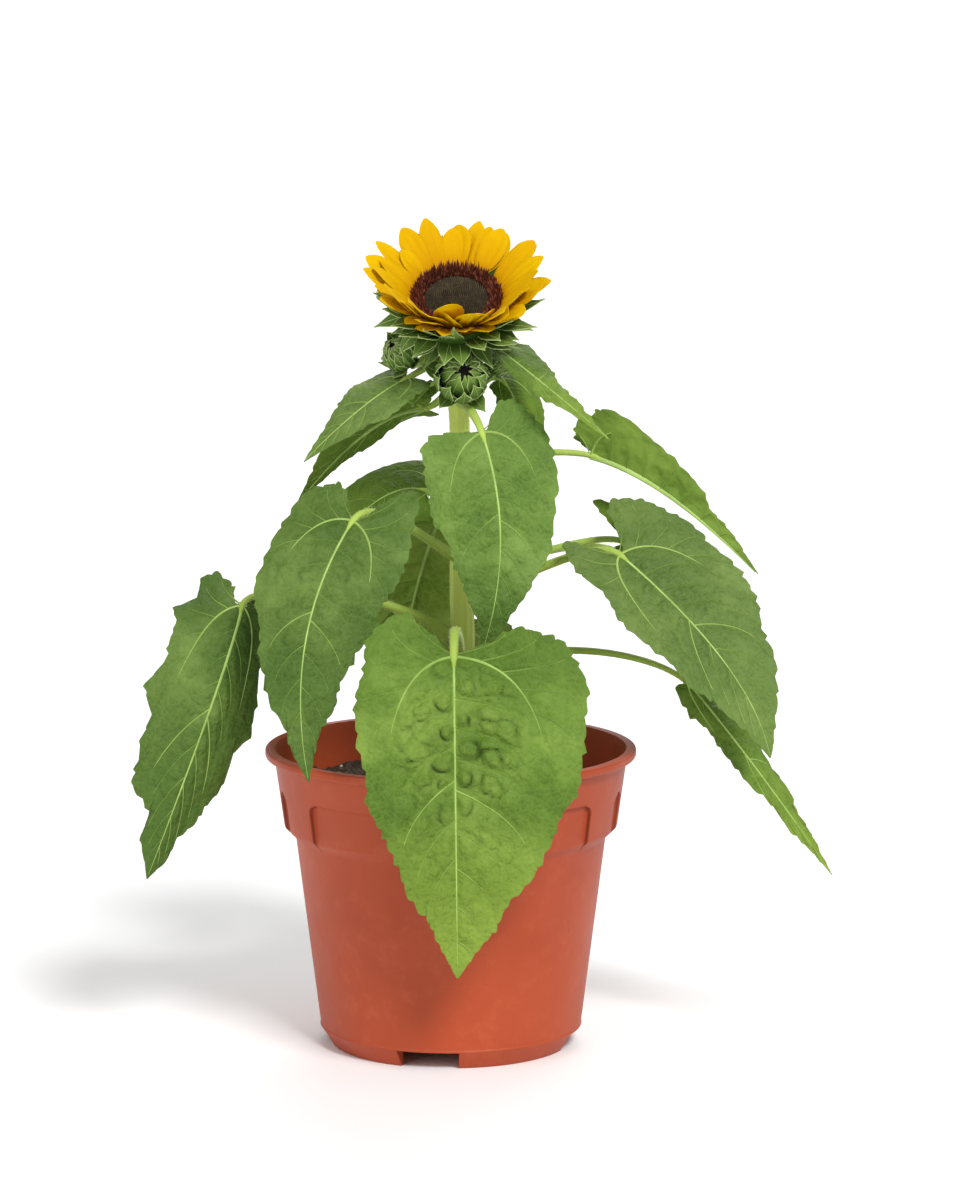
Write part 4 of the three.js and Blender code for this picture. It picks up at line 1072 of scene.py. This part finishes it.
def in_head(points):
    return turn_x(points, HEAD_TURN) + HEAD_CENTRE


def on_ring(home, bearing, radius, height, lift):
    """Way to place a blade along +Y on a ring of a flower head or bud: lifted, moved out to the
    ring, turned to its bearing and then taken home."""
    def place(points):
        lifted = turn_x(points, math.radians(lift)) + [0, radius, height]
        return home(turn_z(lifted, math.radians(bearing)))
    return place


def between(pair, bearing):
    """Value between one for the back of the head and one for its front, at a bearing."""
    forward = (1 - math.cos(math.radians(bearing))) / 2
    return pair[0] + (pair[1] - pair[0]) * forward ** 1.1


def pointed_blade(outline, length, width, thickness, bend, hollow, pleats, twist, rows, wide):
    """Upper and lower points of a thin blade along +Y, bent up towards its tip, and the shares
    of its width and length that each carries."""
    shares = np.linspace(0, 1, rows)[:, None]
    columns = np.linspace(1, -1, 2 * wide + 1)[None, :]
    angle = np.radians(bend) * shares
    across = np.interp(shares, *outline.T) * width / 2 * columns
    ripple = pleats * np.cos(3 * np.pi * columns) * np.sin(np.pi * np.clip(shares * 1.1, 0, 1))
    level = hollow * np.abs(across) + ripple + np.radians(twist) * shares * across
    grids = []
    for sign in (0.5, -0.5):
        lift = sign * thickness * (1 - 0.6 * columns ** 4)
        y = length * shares * np.cos(angle / 2) - lift * np.sin(angle)
        z = length * shares * np.sin(angle / 2) + lift * np.cos(angle) + level
        grids.append(np.stack([across, y, z], -1))
    return grids[0], grids[1], np.stack(np.broadcast_arrays(columns / 2 + 0.5, shares), -1)


def ray_piece():
    """Ray florets in overlapping whorls. At the front the longest fold over the disc, and a
    few of the lowest bend outwards."""
    shape = Shape()
    for whorl in RAY_WHORLS:
        for k in range(whorl["count"]):
            bearing = (k + whorl["shift"]) * 360 / whorl["count"] + random.normal(0, RAY_SPREAD["bearing"])
            if abs(bearing - 180) > whorl["front"]:
                continue
            spot = {key: between(whorl[key], bearing) for key in RAY_KEYS}
            length = spot["length"] * (1 + random.normal(0, RAY_SPREAD["length"]))
            width = spot["width"] * (1 + random.normal(0, RAY_SPREAD["width"]))
            bend = spot["bend"] + random.normal(0, RAY_SPREAD["bend"])
            hollow = RAY_HOLLOW + random.normal(0, RAY_SPREAD["hollow"])
            twist = random.normal(0, RAY_SPREAD["twist"])
            upper, lower, shares = pointed_blade(
                RAY_OUTLINE, length, width, RAY_THICKNESS, bend, hollow, RAY_PLEATS, twist, *RAY_GRID)
            # Painted light: towards the front the random darkening fades and the orange root gets shorter,
            # as these rays' visible outer sides face down, away from the light.
            tone = np.full(shares.shape[:2], random.random() * between((1, 0.1), bearing))
            along = 1 - (1 - shares[..., 1]) ** between((1, 2.2), bearing)
            lift = spot["lift"] + random.normal(0, RAY_SPREAD["lift"])
            place = on_ring(in_head, bearing, spot["radius"], spot["height"], lift)
            add_sheet(shape, place(upper), place(lower), np.stack([tone, along], -1))
    inner = DISC_RIM_RADIUS + GAP
    profile = [[inner, DISC_BACK], [inner + 1, DISC_BACK], [inner + 1, -1.6], [inner, -1.4]]
    add_turned(shape, profile, HEAD_SEGMENTS, in_head)
    shape.piece("ray_florets", [RAYS], "ray", "flower_rays", True)


def add_florets(shape, places, ways, radius, length, sides, kinds, tip=0.35):
    """Small upright florets: a tapering tube with a pointed end, one for each place."""
    lean = unit(np.cross(ways, [0.3, 0.5, 0.81]))
    ring = around(sides, lean, np.cross(ways, lean))
    rings = [places[:, None] + ways[:, None] * (share * length)[:, None, None]
             + ring * (wide * radius)[:, None, None]
             for share, wide in ((0.0, 0.8), (0.55, 1.0), (0.85, 0.75))]
    points = np.stack(rings, 1).reshape(len(places), -1, 3)
    points = np.concatenate([points, (places + ways * ((1 + tip) * length)[:, None])[:, None]], 1)
    side = np.arange(sides)
    fan = np.stack([2 * sides + side, 2 * sides + (side + 1) % sides, np.full(sides, 3 * sides)], -1)
    for kind in np.unique(kinds):
        chosen = np.flatnonzero(kinds == kind)
        shift = points.shape[1] * np.arange(len(chosen))[:, None, None]
        faces = [(ring_faces(3, sides) + shift).reshape(-1, 4), (fan + shift).reshape(-1, 3)]
        shape.add(in_head(points[chosen]), faces, kind)


def disc_piece():
    """Dark, tightly packed florets of the disc, sunk below the ones of its rim."""
    shape = Shape()
    k = np.arange(DISC_FLORETS)
    radius = (DISC_RADIUS - 0.3) * np.sqrt((k + 0.5) / DISC_FLORETS)
    angle = k * GOLDEN_ANGLE
    height = DISC_SINK + 0.8 * np.sin(np.clip(radius / (DISC_RADIUS - 2), 0, 1) * 2.2)
    places = np.stack([radius * np.cos(angle), radius * np.sin(angle), height], -1)
    ways = unit(places * [0.02, 0.02, 0] + [0, 0, 1])
    kinds = (random.random(len(k)) < 0.3).astype(int)
    add_florets(shape, places, ways, 0.36 + 0.012 * radius, 0.8 + 0.04 * radius, 6, kinds)
    profile = [[0.01, DISC_BACK], [DISC_RADIUS, DISC_BACK], [DISC_RADIUS, DISC_SINK],
               [DISC_RADIUS - 4, DISC_SINK + 0.5], [0.01, DISC_SINK + 0.2]]
    add_turned(shape, profile, HEAD_SEGMENTS, in_head)
    shape.piece("disc_florets", [DISC_DARK, DISC_OLIVE], "disc", "flower_disc")


def rim_piece():
    """Longer florets of the disc's rim, which lean in at its inside and out at its outside."""
    shape = Shape()
    k = np.arange(RIM_FLORETS)
    share = (k + 0.5) / RIM_FLORETS
    inner = DISC_RADIUS + 0.3
    radius = np.sqrt(inner ** 2 + ((DISC_RIM_RADIUS - 0.5) ** 2 - inner ** 2) * share)
    angle = k * GOLDEN_ANGLE + random.normal(0, RIM_SPREAD["angle"], len(k))
    places = np.stack([radius * np.cos(angle), radius * np.sin(angle), 0.5 * share - 0.5], -1)
    lean = unit(places * [1, 1, 0]) * (0.55 * share - 0.4)[:, None]
    ways = unit(lean + [0, 0, 1] + random.normal(0, RIM_SPREAD["lean"], (len(k), 3)))
    kinds = (random.random(len(k)) < 0.25).astype(int)
    length = 1.4 + 1.4 * share + random.normal(0, RIM_SPREAD["length"], len(k))
    add_florets(shape, places, ways, np.full(len(k), 0.46), length, 5, kinds, 0.6)
    profile = [[inner, DISC_BACK], [DISC_RIM_RADIUS, DISC_BACK], [DISC_RIM_RADIUS, 0], [inner + 2, 0],
               [inner, -0.3]]
    add_turned(shape, profile, HEAD_SEGMENTS, in_head)
    shape.piece("rim_florets", [RIM_DARK, RIM_LIGHT], "disc_rim", "flower_disc_rim")


def add_bract(shape, length, width, bend, place, hollow=BRACT_HOLLOW):
    """Pointed green scale with a pale midrib, pale edges and hairs along them."""
    twist = random.normal(0, BRACT_SPREAD["twist"])
    upper, lower, shares = pointed_blade(
        BRACT_OUTLINE, length, width, BRACT_THICKNESS, bend, hollow, BRACT_PLEATS, twist, *BRACT_GRID)
    add_sheet(shape, place(upper), place(lower), shares)
    crest, keel = upper[:, upper.shape[1] // 2], lower[:, upper.shape[1] // 2]
    spine = [crest + [-0.3, 0, -0.3], crest + [0, 0, 0.2], crest + [0.3, 0, -0.3], keel - [0, 0, 0.2]]
    add_rings(shape, place(np.stack(spine, 1)), 1)
    for edge, sign in ((0, 1), (-1, -1)):
        rim = (upper[:, edge] + lower[:, edge]) / 2
        rise = np.array([0, 0, 0.24 * sign])
        line = place(np.stack([rim + [0.18 * sign, 0, 0], rim - rise, rim + rise], 1))
        add_rings(shape, line, 1)
        add_hairs(shape, line, BRACT_HAIRS, BRACT_HAIR_LENGTH, 0)


def receptacle_piece():
    shape = Shape()
    profile = [
        [0.01, -HEAD_DEPTH], [STEM_TOP_RADIUS, -HEAD_DEPTH + 0.2], [7, -18.4], [10, -17.5], [14, -15.4],
        [17, -13], [20, -10.4], [22, -8], [23, -6.4], [RECEPTACLE_RADIUS, -5], [RECEPTACLE_RADIUS, -3.5],
        [22.7, -1.6], [21.9, -1.3], [21.8, -3.3], [0.01, -3.5],
    ]
    add_turned(shape, profile, RECEPTACLE_SEGMENTS, in_head)
    for index, row in enumerate(BRACT_ROWS):
        for k in range(row["count"]):
            bearing = (k + index / 2) * 360 / row["count"] + random.normal(0, BRACT_SPREAD["bearing"])
            lift = between(row["lift"], bearing) + random.normal(0, BRACT_SPREAD["lift"])
            length = row["length"] * (1 + random.normal(0, BRACT_SPREAD["length"]))
            bend = BRACT_BEND + random.normal(0, BRACT_SPREAD["bend"])
            place = on_ring(in_head, bearing, RECEPTACLE_RADIUS - 2.5 - 2 * index, -row["depth"], lift)
            add_bract(shape, length, row["width"], bend, place)
    shape.piece("involucre", [BRACT, BRACT_EDGE], "bract", "flower_receptacle", True)


# Buds

def bud_piece(bud):
    """Bud of wrapped scales round a hollow of painted shade, with a few spreading ones behind it."""
    radius = bud["radius"]
    turn = Vector((0, 0, 1)).rotation_difference(Vector(unit(bud["axis"]).tolist()))
    matrix = np.array(turn.to_matrix())

    def in_bud(points):
        return points @ matrix.T + bud["centre"]

    shape = Shape()
    add_turned(shape, spline(BUD_CORE, np.linspace(0, 1, 24)) * radius, BUD_SEGMENTS, in_bud)
    # Near-black disc of painted shade in the opening
    add_turned(shape, BUD_OPENING * radius, BUD_SEGMENTS, in_bud, 2)
    for index, whorl in enumerate(BUD_WHORLS):
        for k in range(whorl["count"]):
            middle = (k + 0.5 * (index % 2)) * 360 / whorl["count"]
            bearing = middle + random.normal(0, SCALE_SPREAD["bearing"])
            lift = whorl["tilt"] + random.normal(0, SCALE_SPREAD["lift"])
            place = on_ring(in_bud, bearing, whorl["ring"] * radius, whorl["height"] * radius, lift)
            length = whorl["size"] * radius
            add_bract(shape, length, SCALE_WIDTH * radius, whorl["bend"], place, SCALE_HOLLOW)
    materials = [BRACT, BRACT_EDGE, BUD_SHADE_HOLLOW]
    shape.piece("bud_scales_" + bud["name"], materials, "bract", "bud_" + bud["name"], True)


def bud_stalk_radius(share):
    return np.full_like(share, BUD_STALK_RADIUS)


def bud_stalk_relief(angle, share):
    return 0.97 + 0.03 * np.cos(7 * angle) + 0 * share


def bud_stalk_piece(bud):
    start = stem_axis_at(bud["node"])
    axis = unit(bud["axis"])
    end = bud["centre"] - axis * (bud["radius"] - 0.5)
    reach = np.linalg.norm(end - start)
    level = unit((end - start) * [1, 1, 0])
    points = [start, start + level * reach * 0.4, end - axis * reach * 0.4, end]
    across = unit(np.cross(axis, [0, 0, 1]))
    shares = np.linspace(0, 1, 16)
    rings = limb_rings(points, bud_stalk_radius, across, LIMB_SIDES, shares, bud_stalk_relief)
    shape = Shape()
    add_rings(shape, rings)
    add_hairs(shape, rings, BUD_HAIRS, BUD_HAIR_LENGTH)
    shape.piece("stalk_bud_" + bud["name"], [STEM, HAIR], "stem", "bud_stalk_" + bud["name"])


# Pot and compost

def collar_radius(height):
    slope = (COLLAR_TOP_RADIUS - COLLAR_BOTTOM_RADIUS) / (POT_HEIGHT - POT_LIP_HEIGHT - COLLAR_BOTTOM)
    return COLLAR_BOTTOM_RADIUS + slope * (height - COLLAR_BOTTOM)


def eased(profile, rounding, steps):
    """Profile with each corner off the axis rounded by up to a length."""
    profile = np.array(profile, float)
    out = []
    for index, here in enumerate(profile):
        if here[0] < 0.1:
            out.append(here)
            continue
        enter = profile[index - 1] - here
        leave = profile[(index + 1) % len(profile)] - here
        reach = min(rounding, np.linalg.norm(enter) / 2.2, np.linalg.norm(leave) / 2.2)
        corner = [here + unit(enter) * reach, here, here + unit(leave) * reach]
        out.extend(bezier(corner, np.linspace(0, 1, steps))[0])
    return np.array(out)


def pot_profile(lug):
    """Closed profile of the pot's wall and floor, through a lug or through a panel between lugs."""
    foot = FOOT_RADIUS - FOOT_WALL
    lip = POT_HEIGHT - POT_LIP_HEIGHT
    depth = 0 if lug else PANEL_DEPTH
    seam = BODY_BOTTOM_RADIUS + SEAM
    wall = [[collar_radius(PANEL_TOP - drop) - depth, PANEL_TOP - drop]
            for drop in PANEL_CORNER * np.array([1, 0.6, 0.3, 0.1, 0])]
    return eased([
        [0.01, FLOOR_UNDERSIDE], [foot, FLOOR_UNDERSIDE], [foot, 0], [FOOT_RADIUS, 0],
        [FOOT_SHOULDER_RADIUS, FOOT_SHOULDER], [BODY_BOTTOM_RADIUS, BODY_BOTTOM - 0.3],
        [seam, BODY_BOTTOM], [seam, BODY_BOTTOM + 0.5], [BODY_BOTTOM_RADIUS, BODY_BOTTOM + 0.8],
        [BODY_TOP_RADIUS, COLLAR_BOTTOM - COLLAR_CHAMFER],
        [COLLAR_BOTTOM_RADIUS - depth, COLLAR_BOTTOM - (0 if lug else 1.2)], *wall,
        [collar_radius(PANEL_TOP + 1), PANEL_TOP + 1],
        [collar_radius(lip), lip - 0.6], [POT_LIP_RADIUS - 0.6, lip],
        [POT_LIP_RADIUS, lip + 0.8], [POT_LIP_RADIUS, POT_HEIGHT - 0.8],
        [POT_LIP_RADIUS - 0.8, POT_HEIGHT], [POT_LIP_RADIUS - POT_LIP_WIDTH, POT_HEIGHT],
        [COLLAR_TOP_RADIUS - POT_WALL, lip - 2],
        [COLLAR_BOTTOM_RADIUS - PANEL_DEPTH - POT_WALL, COLLAR_BOTTOM],
        [BODY_TOP_RADIUS - POT_WALL, COLLAR_BOTTOM - COLLAR_CHAMFER],
        [BODY_BOTTOM_RADIUS - POT_WALL, FLOOR_TOP], [0.01, FLOOR_TOP],
    ], EDGE_ROUNDING, 3)


def pot_bearings():
    """Bearings of the pot's sections, closer together where a lug begins or ends."""
    even = np.linspace(-180, 180, POT_SEGMENTS, endpoint=False)
    spans = np.array(LUG_SPANS, float)
    shifts = np.linspace(-0.45, 3.45, 19)[None, :]
    close = np.concatenate([spans[:, :1] - shifts, spans[:, 1:] + shifts]).ravel()
    return np.unique(np.concatenate([even, close]).round(4))


def lug_share(bearing, height):
    """1 on a lug and 0 on a panel between lugs. The panels' upper corners are rounded."""
    rise = np.clip(height - (PANEL_TOP - PANEL_CORNER), 0, PANEL_CORNER)
    wider = np.degrees((PANEL_CORNER - np.sqrt(PANEL_CORNER ** 2 - rise ** 2)) / COLLAR_TOP_RADIUS)
    share = np.zeros_like(bearing * height)
    for start, end in LUG_SPANS:
        left = np.clip((bearing - start + wider) / LUG_STEP + 0.5, 0, 1)
        right = np.clip((end + wider - bearing) / LUG_STEP + 0.5, 0, 1)
        share = np.maximum(share, (left * right) ** 2 * (3 - 2 * left * right))
    return share


def on_bearing(bearing, radius, height):
    angle = np.radians(bearing)
    return np.stack(np.broadcast_arrays(radius * np.sin(angle), -radius * np.cos(angle), height), -1)


def pot_shell():
    """Pot without its notches and holes. Each point carries how near a lug's step it is, which sets the
    painted shade there.
    """
    bearing = pot_bearings()[:, None]
    panel, lug = pot_profile(False)[None], pot_profile(True)[None]
    share = lug_share(bearing, panel[..., 1])[..., None]
    profile = panel * (1 - share) + lug * share
    grid = on_bearing(bearing, profile[..., 0], profile[..., 1])
    # How near a lug's step each point is, for the painted shade along the steps.
    step = 4 * share[..., 0] * (1 - share[..., 0]) * (np.linalg.norm(panel - lug, axis=-1) > 1)
    shape = Shape()
    shape.add(grid, [closed_quads(*grid.shape[:2])], 0, np.stack([step, 0 * step], -1).reshape(-1, 2))
    return shape


def pot_cuts():
    """Foot notches and drain holes, to be cut out of the pot."""
    shape = Shape()
    inner, outer = FOOT_RADIUS - FOOT_WALL - 3, BODY_BOTTOM_RADIUS + 3
    section = np.array([[inner, -1], [outer, -1], [outer, NOTCH_HEIGHT], [inner, NOTCH_HEIGHT]])
    for middle in NOTCH_BEARINGS:
        bearing = np.linspace(middle - NOTCH_HALF_ANGLE, middle + NOTCH_HALF_ANGLE, 15)[:, None]
        add_rings(shape, on_bearing(bearing, section[None, :, 0], section[None, :, 1])[:, ::-1])
    for k in range(DRAIN_HOLES):
        angle = 2 * math.pi * k / DRAIN_HOLES
        middle = (DRAIN_CIRCLE * math.cos(angle), DRAIN_CIRCLE * math.sin(angle))
        add_rings(shape, [level_ring(DRAIN_RADIUS, level, 32, middle)
                          for level in (FLOOR_UNDERSIDE - 3, FLOOR_UNDERSIDE + 6)])
    return shape


def centre_pad():
    shape = Shape()
    add_rings(shape, [level_ring(CENTRE_PAD_RADIUS + wider, level, 48)
                      for wider, level in ((-0.6, 0), (0, 0.6), (2, FLOOR_TOP - 0.5))])
    return shape


def combined(body, tool, operation):
    """New mesh from a Boolean between two meshes."""
    things = [bpy.data.objects.new("work", mesh) for mesh in (body, tool)]
    for thing in things:
        bpy.context.scene.collection.objects.link(thing)
    change = things[0].modifiers.new("change", "BOOLEAN")
    change.operation = operation
    change.solver = "MANIFOLD"
    change.object = things[1]
    bpy.context.view_layer.update()
    graph = bpy.context.evaluated_depsgraph_get()
    result = bpy.data.meshes.new_from_object(things[0].evaluated_get(graph))
    for thing in things:
        bpy.data.objects.remove(thing)
    return result


def pot_piece():
    shell, cuts, pad = (shape.mesh("pot_work", [POT], CREASES["pot"], True)
                        for shape in (pot_shell(), pot_cuts(), centre_pad()))
    mesh = combined(combined(shell, cuts, "DIFFERENCE"), pad, "UNION")
    mesh.name = "pot_shell"
    mesh.shade_smooth()
    mesh.set_sharp_from_angle(angle=math.radians(CREASES["pot"]))
    add_piece("pot_shell", mesh, "pot")


def icosahedron():
    ratio = (1 + 5 ** 0.5) / 2
    corners = []
    for a in (-1, 1):
        for b in (-ratio, ratio):
            corners += [[0, a, b], [a, b, 0], [b, 0, a]]
    corners = unit(corners)
    faces = []
    for i in range(12):
        for j in range(i + 1, 12):
            for k in range(j + 1, 12):
                gaps = [np.linalg.norm(corners[p] - corners[q]) for p, q in ((i, j), (j, k), (i, k))]
                if max(gaps) < 1.1:
                    turn = np.dot(np.cross(corners[j] - corners[i], corners[k] - corners[i]), corners[i])
                    faces.append([i, j, k] if turn > 0 else [i, k, j])
    return corners, np.array(faces)


def soil_height(x, y):
    bump = np.sin(x / 9 + 1) * np.cos(y / 11) - 0.2
    fine = np.sin(x / 2.3 + np.sin(y / 3.1)) * np.cos(y / 2.7 + np.sin(x / 3.7))
    flat = np.clip((np.hypot(x, y) - 12) / 8, 0, 1)
    return SOIL_TOP + flat * (0.9 * bump + 0.5 * fine)


def add_crumbs(shape, edge, count, smallest, largest, kind, inner, margin):
    """Scatters uneven lumps over the compost's top, from an inner radius to a margin at its edge."""
    corners, faces = icosahedron()
    radius = np.sqrt(random.uniform(inner ** 2, (edge - margin) ** 2, count))
    angle = random.uniform(0, 2 * np.pi, count)
    size = smallest + (largest - smallest) * random.random(count) ** 3
    x, y = radius * np.cos(angle), radius * np.sin(angle)
    centre = np.stack([x, y, soil_height(x, y) + 0.25 * size], -1)
    lumps = corners[None] * (0.75 + 0.5 * random.random((count, 12, 1)))
    points = centre[:, None] + size[:, None, None] * lumps * (0.7 + 0.6 * random.random((count, 1, 3)))
    shape.add(points, [(faces[None] + 12 * np.arange(count)[:, None, None]).reshape(-1, 3)], kind)


def soil_piece():
    edge = COLLAR_BOTTOM_RADIUS - PANEL_DEPTH - POT_WALL - GAP
    rings = [level_ring(radius - POT_WALL - 0.8, level, SOIL_SEGMENTS)
             for radius, level in ((BODY_BOTTOM_RADIUS, FLOOR_TOP + GAP), (BODY_TOP_RADIUS, SOIL_SHOULDER))]
    for radius in np.linspace(edge, 0.5, 46):
        ring = level_ring(radius, 0, SOIL_SEGMENTS)
        ring[:, 2] = soil_height(ring[:, 0], ring[:, 1])
        rings.append(ring)
    shape = Shape()
    add_rings(shape, rings)
    for grains in (CRUMBS, PERLITE_GRAINS):
        add_crumbs(shape, edge, **grains)
    shape.piece("compost_top", [SOIL, CRUMB, PERLITE], "compost", "soil")


# Studio

def add_camera():
    camera = bpy.data.objects.new("camera", bpy.data.cameras.new("camera"))
    camera.location = CAMERA_PLACE
    camera.rotation_euler = (math.radians(CAMERA_TILT), 0, 0)
    camera.data.lens = CAMERA_LENS
    camera.data.sensor_width = CAMERA_SENSOR
    bpy.context.scene.collection.objects.link(camera)
    bpy.context.scene.camera = camera


def add_floor():
    mesh = bpy.data.meshes.new("floor")
    corners = [(x * FLOOR_REACH, y * FLOOR_REACH, 0) for x, y in ((-1, -1), (1, -1), (1, 1), (-1, 1))]
    mesh.from_pydata(corners, [], [(0, 1, 2, 3)])
    look = Look("floor_pale", 0.9, 0.1)
    look.fill(look.shader, {"Base Color": FLOOR_SHADE})
    mesh.materials.append(look.material)
    floor = bpy.data.objects.new("floor", mesh)
    bpy.context.scene.collection.objects.link(floor)


def add_light(name, way, spread, strength):
    """Soft sunlight from a direction, spread over an angle in degrees."""
    data = bpy.data.lights.new(name, "SUN")
    data.angle = math.radians(spread)
    data.energy = strength
    light = bpy.data.objects.new(name, data)
    light.location = way
    light.rotation_euler = (-Vector(way)).to_track_quat("-Z", "Y").to_euler()
    bpy.context.scene.collection.objects.link(light)


def studio():
    add_camera()
    add_floor()
    world = bpy.data.worlds.new("studio")
    world.use_nodes = True
    background = world.node_tree.nodes["Background"]
    background.inputs["Color"].default_value = (1, 1, 1, 1)
    background.inputs["Strength"].default_value = SKY_STRENGTH
    bpy.context.scene.world = world
    for name, light in LIGHTS.items():
        add_light(name, *light)
    bpy.context.scene.view_settings.view_transform = "Standard"


studio()
pot_piece()
soil_piece()
stem_piece()
for number, leaf in enumerate(LEAVES):
    petiole_piece(leaf, leaf_piece(leaf, 1.7 * number + 0.6))
for bud in BUDS:
    bud_stalk_piece(bud)
    bud_piece(bud)
receptacle_piece()
ray_piece()
disc_piece()
rim_piece()
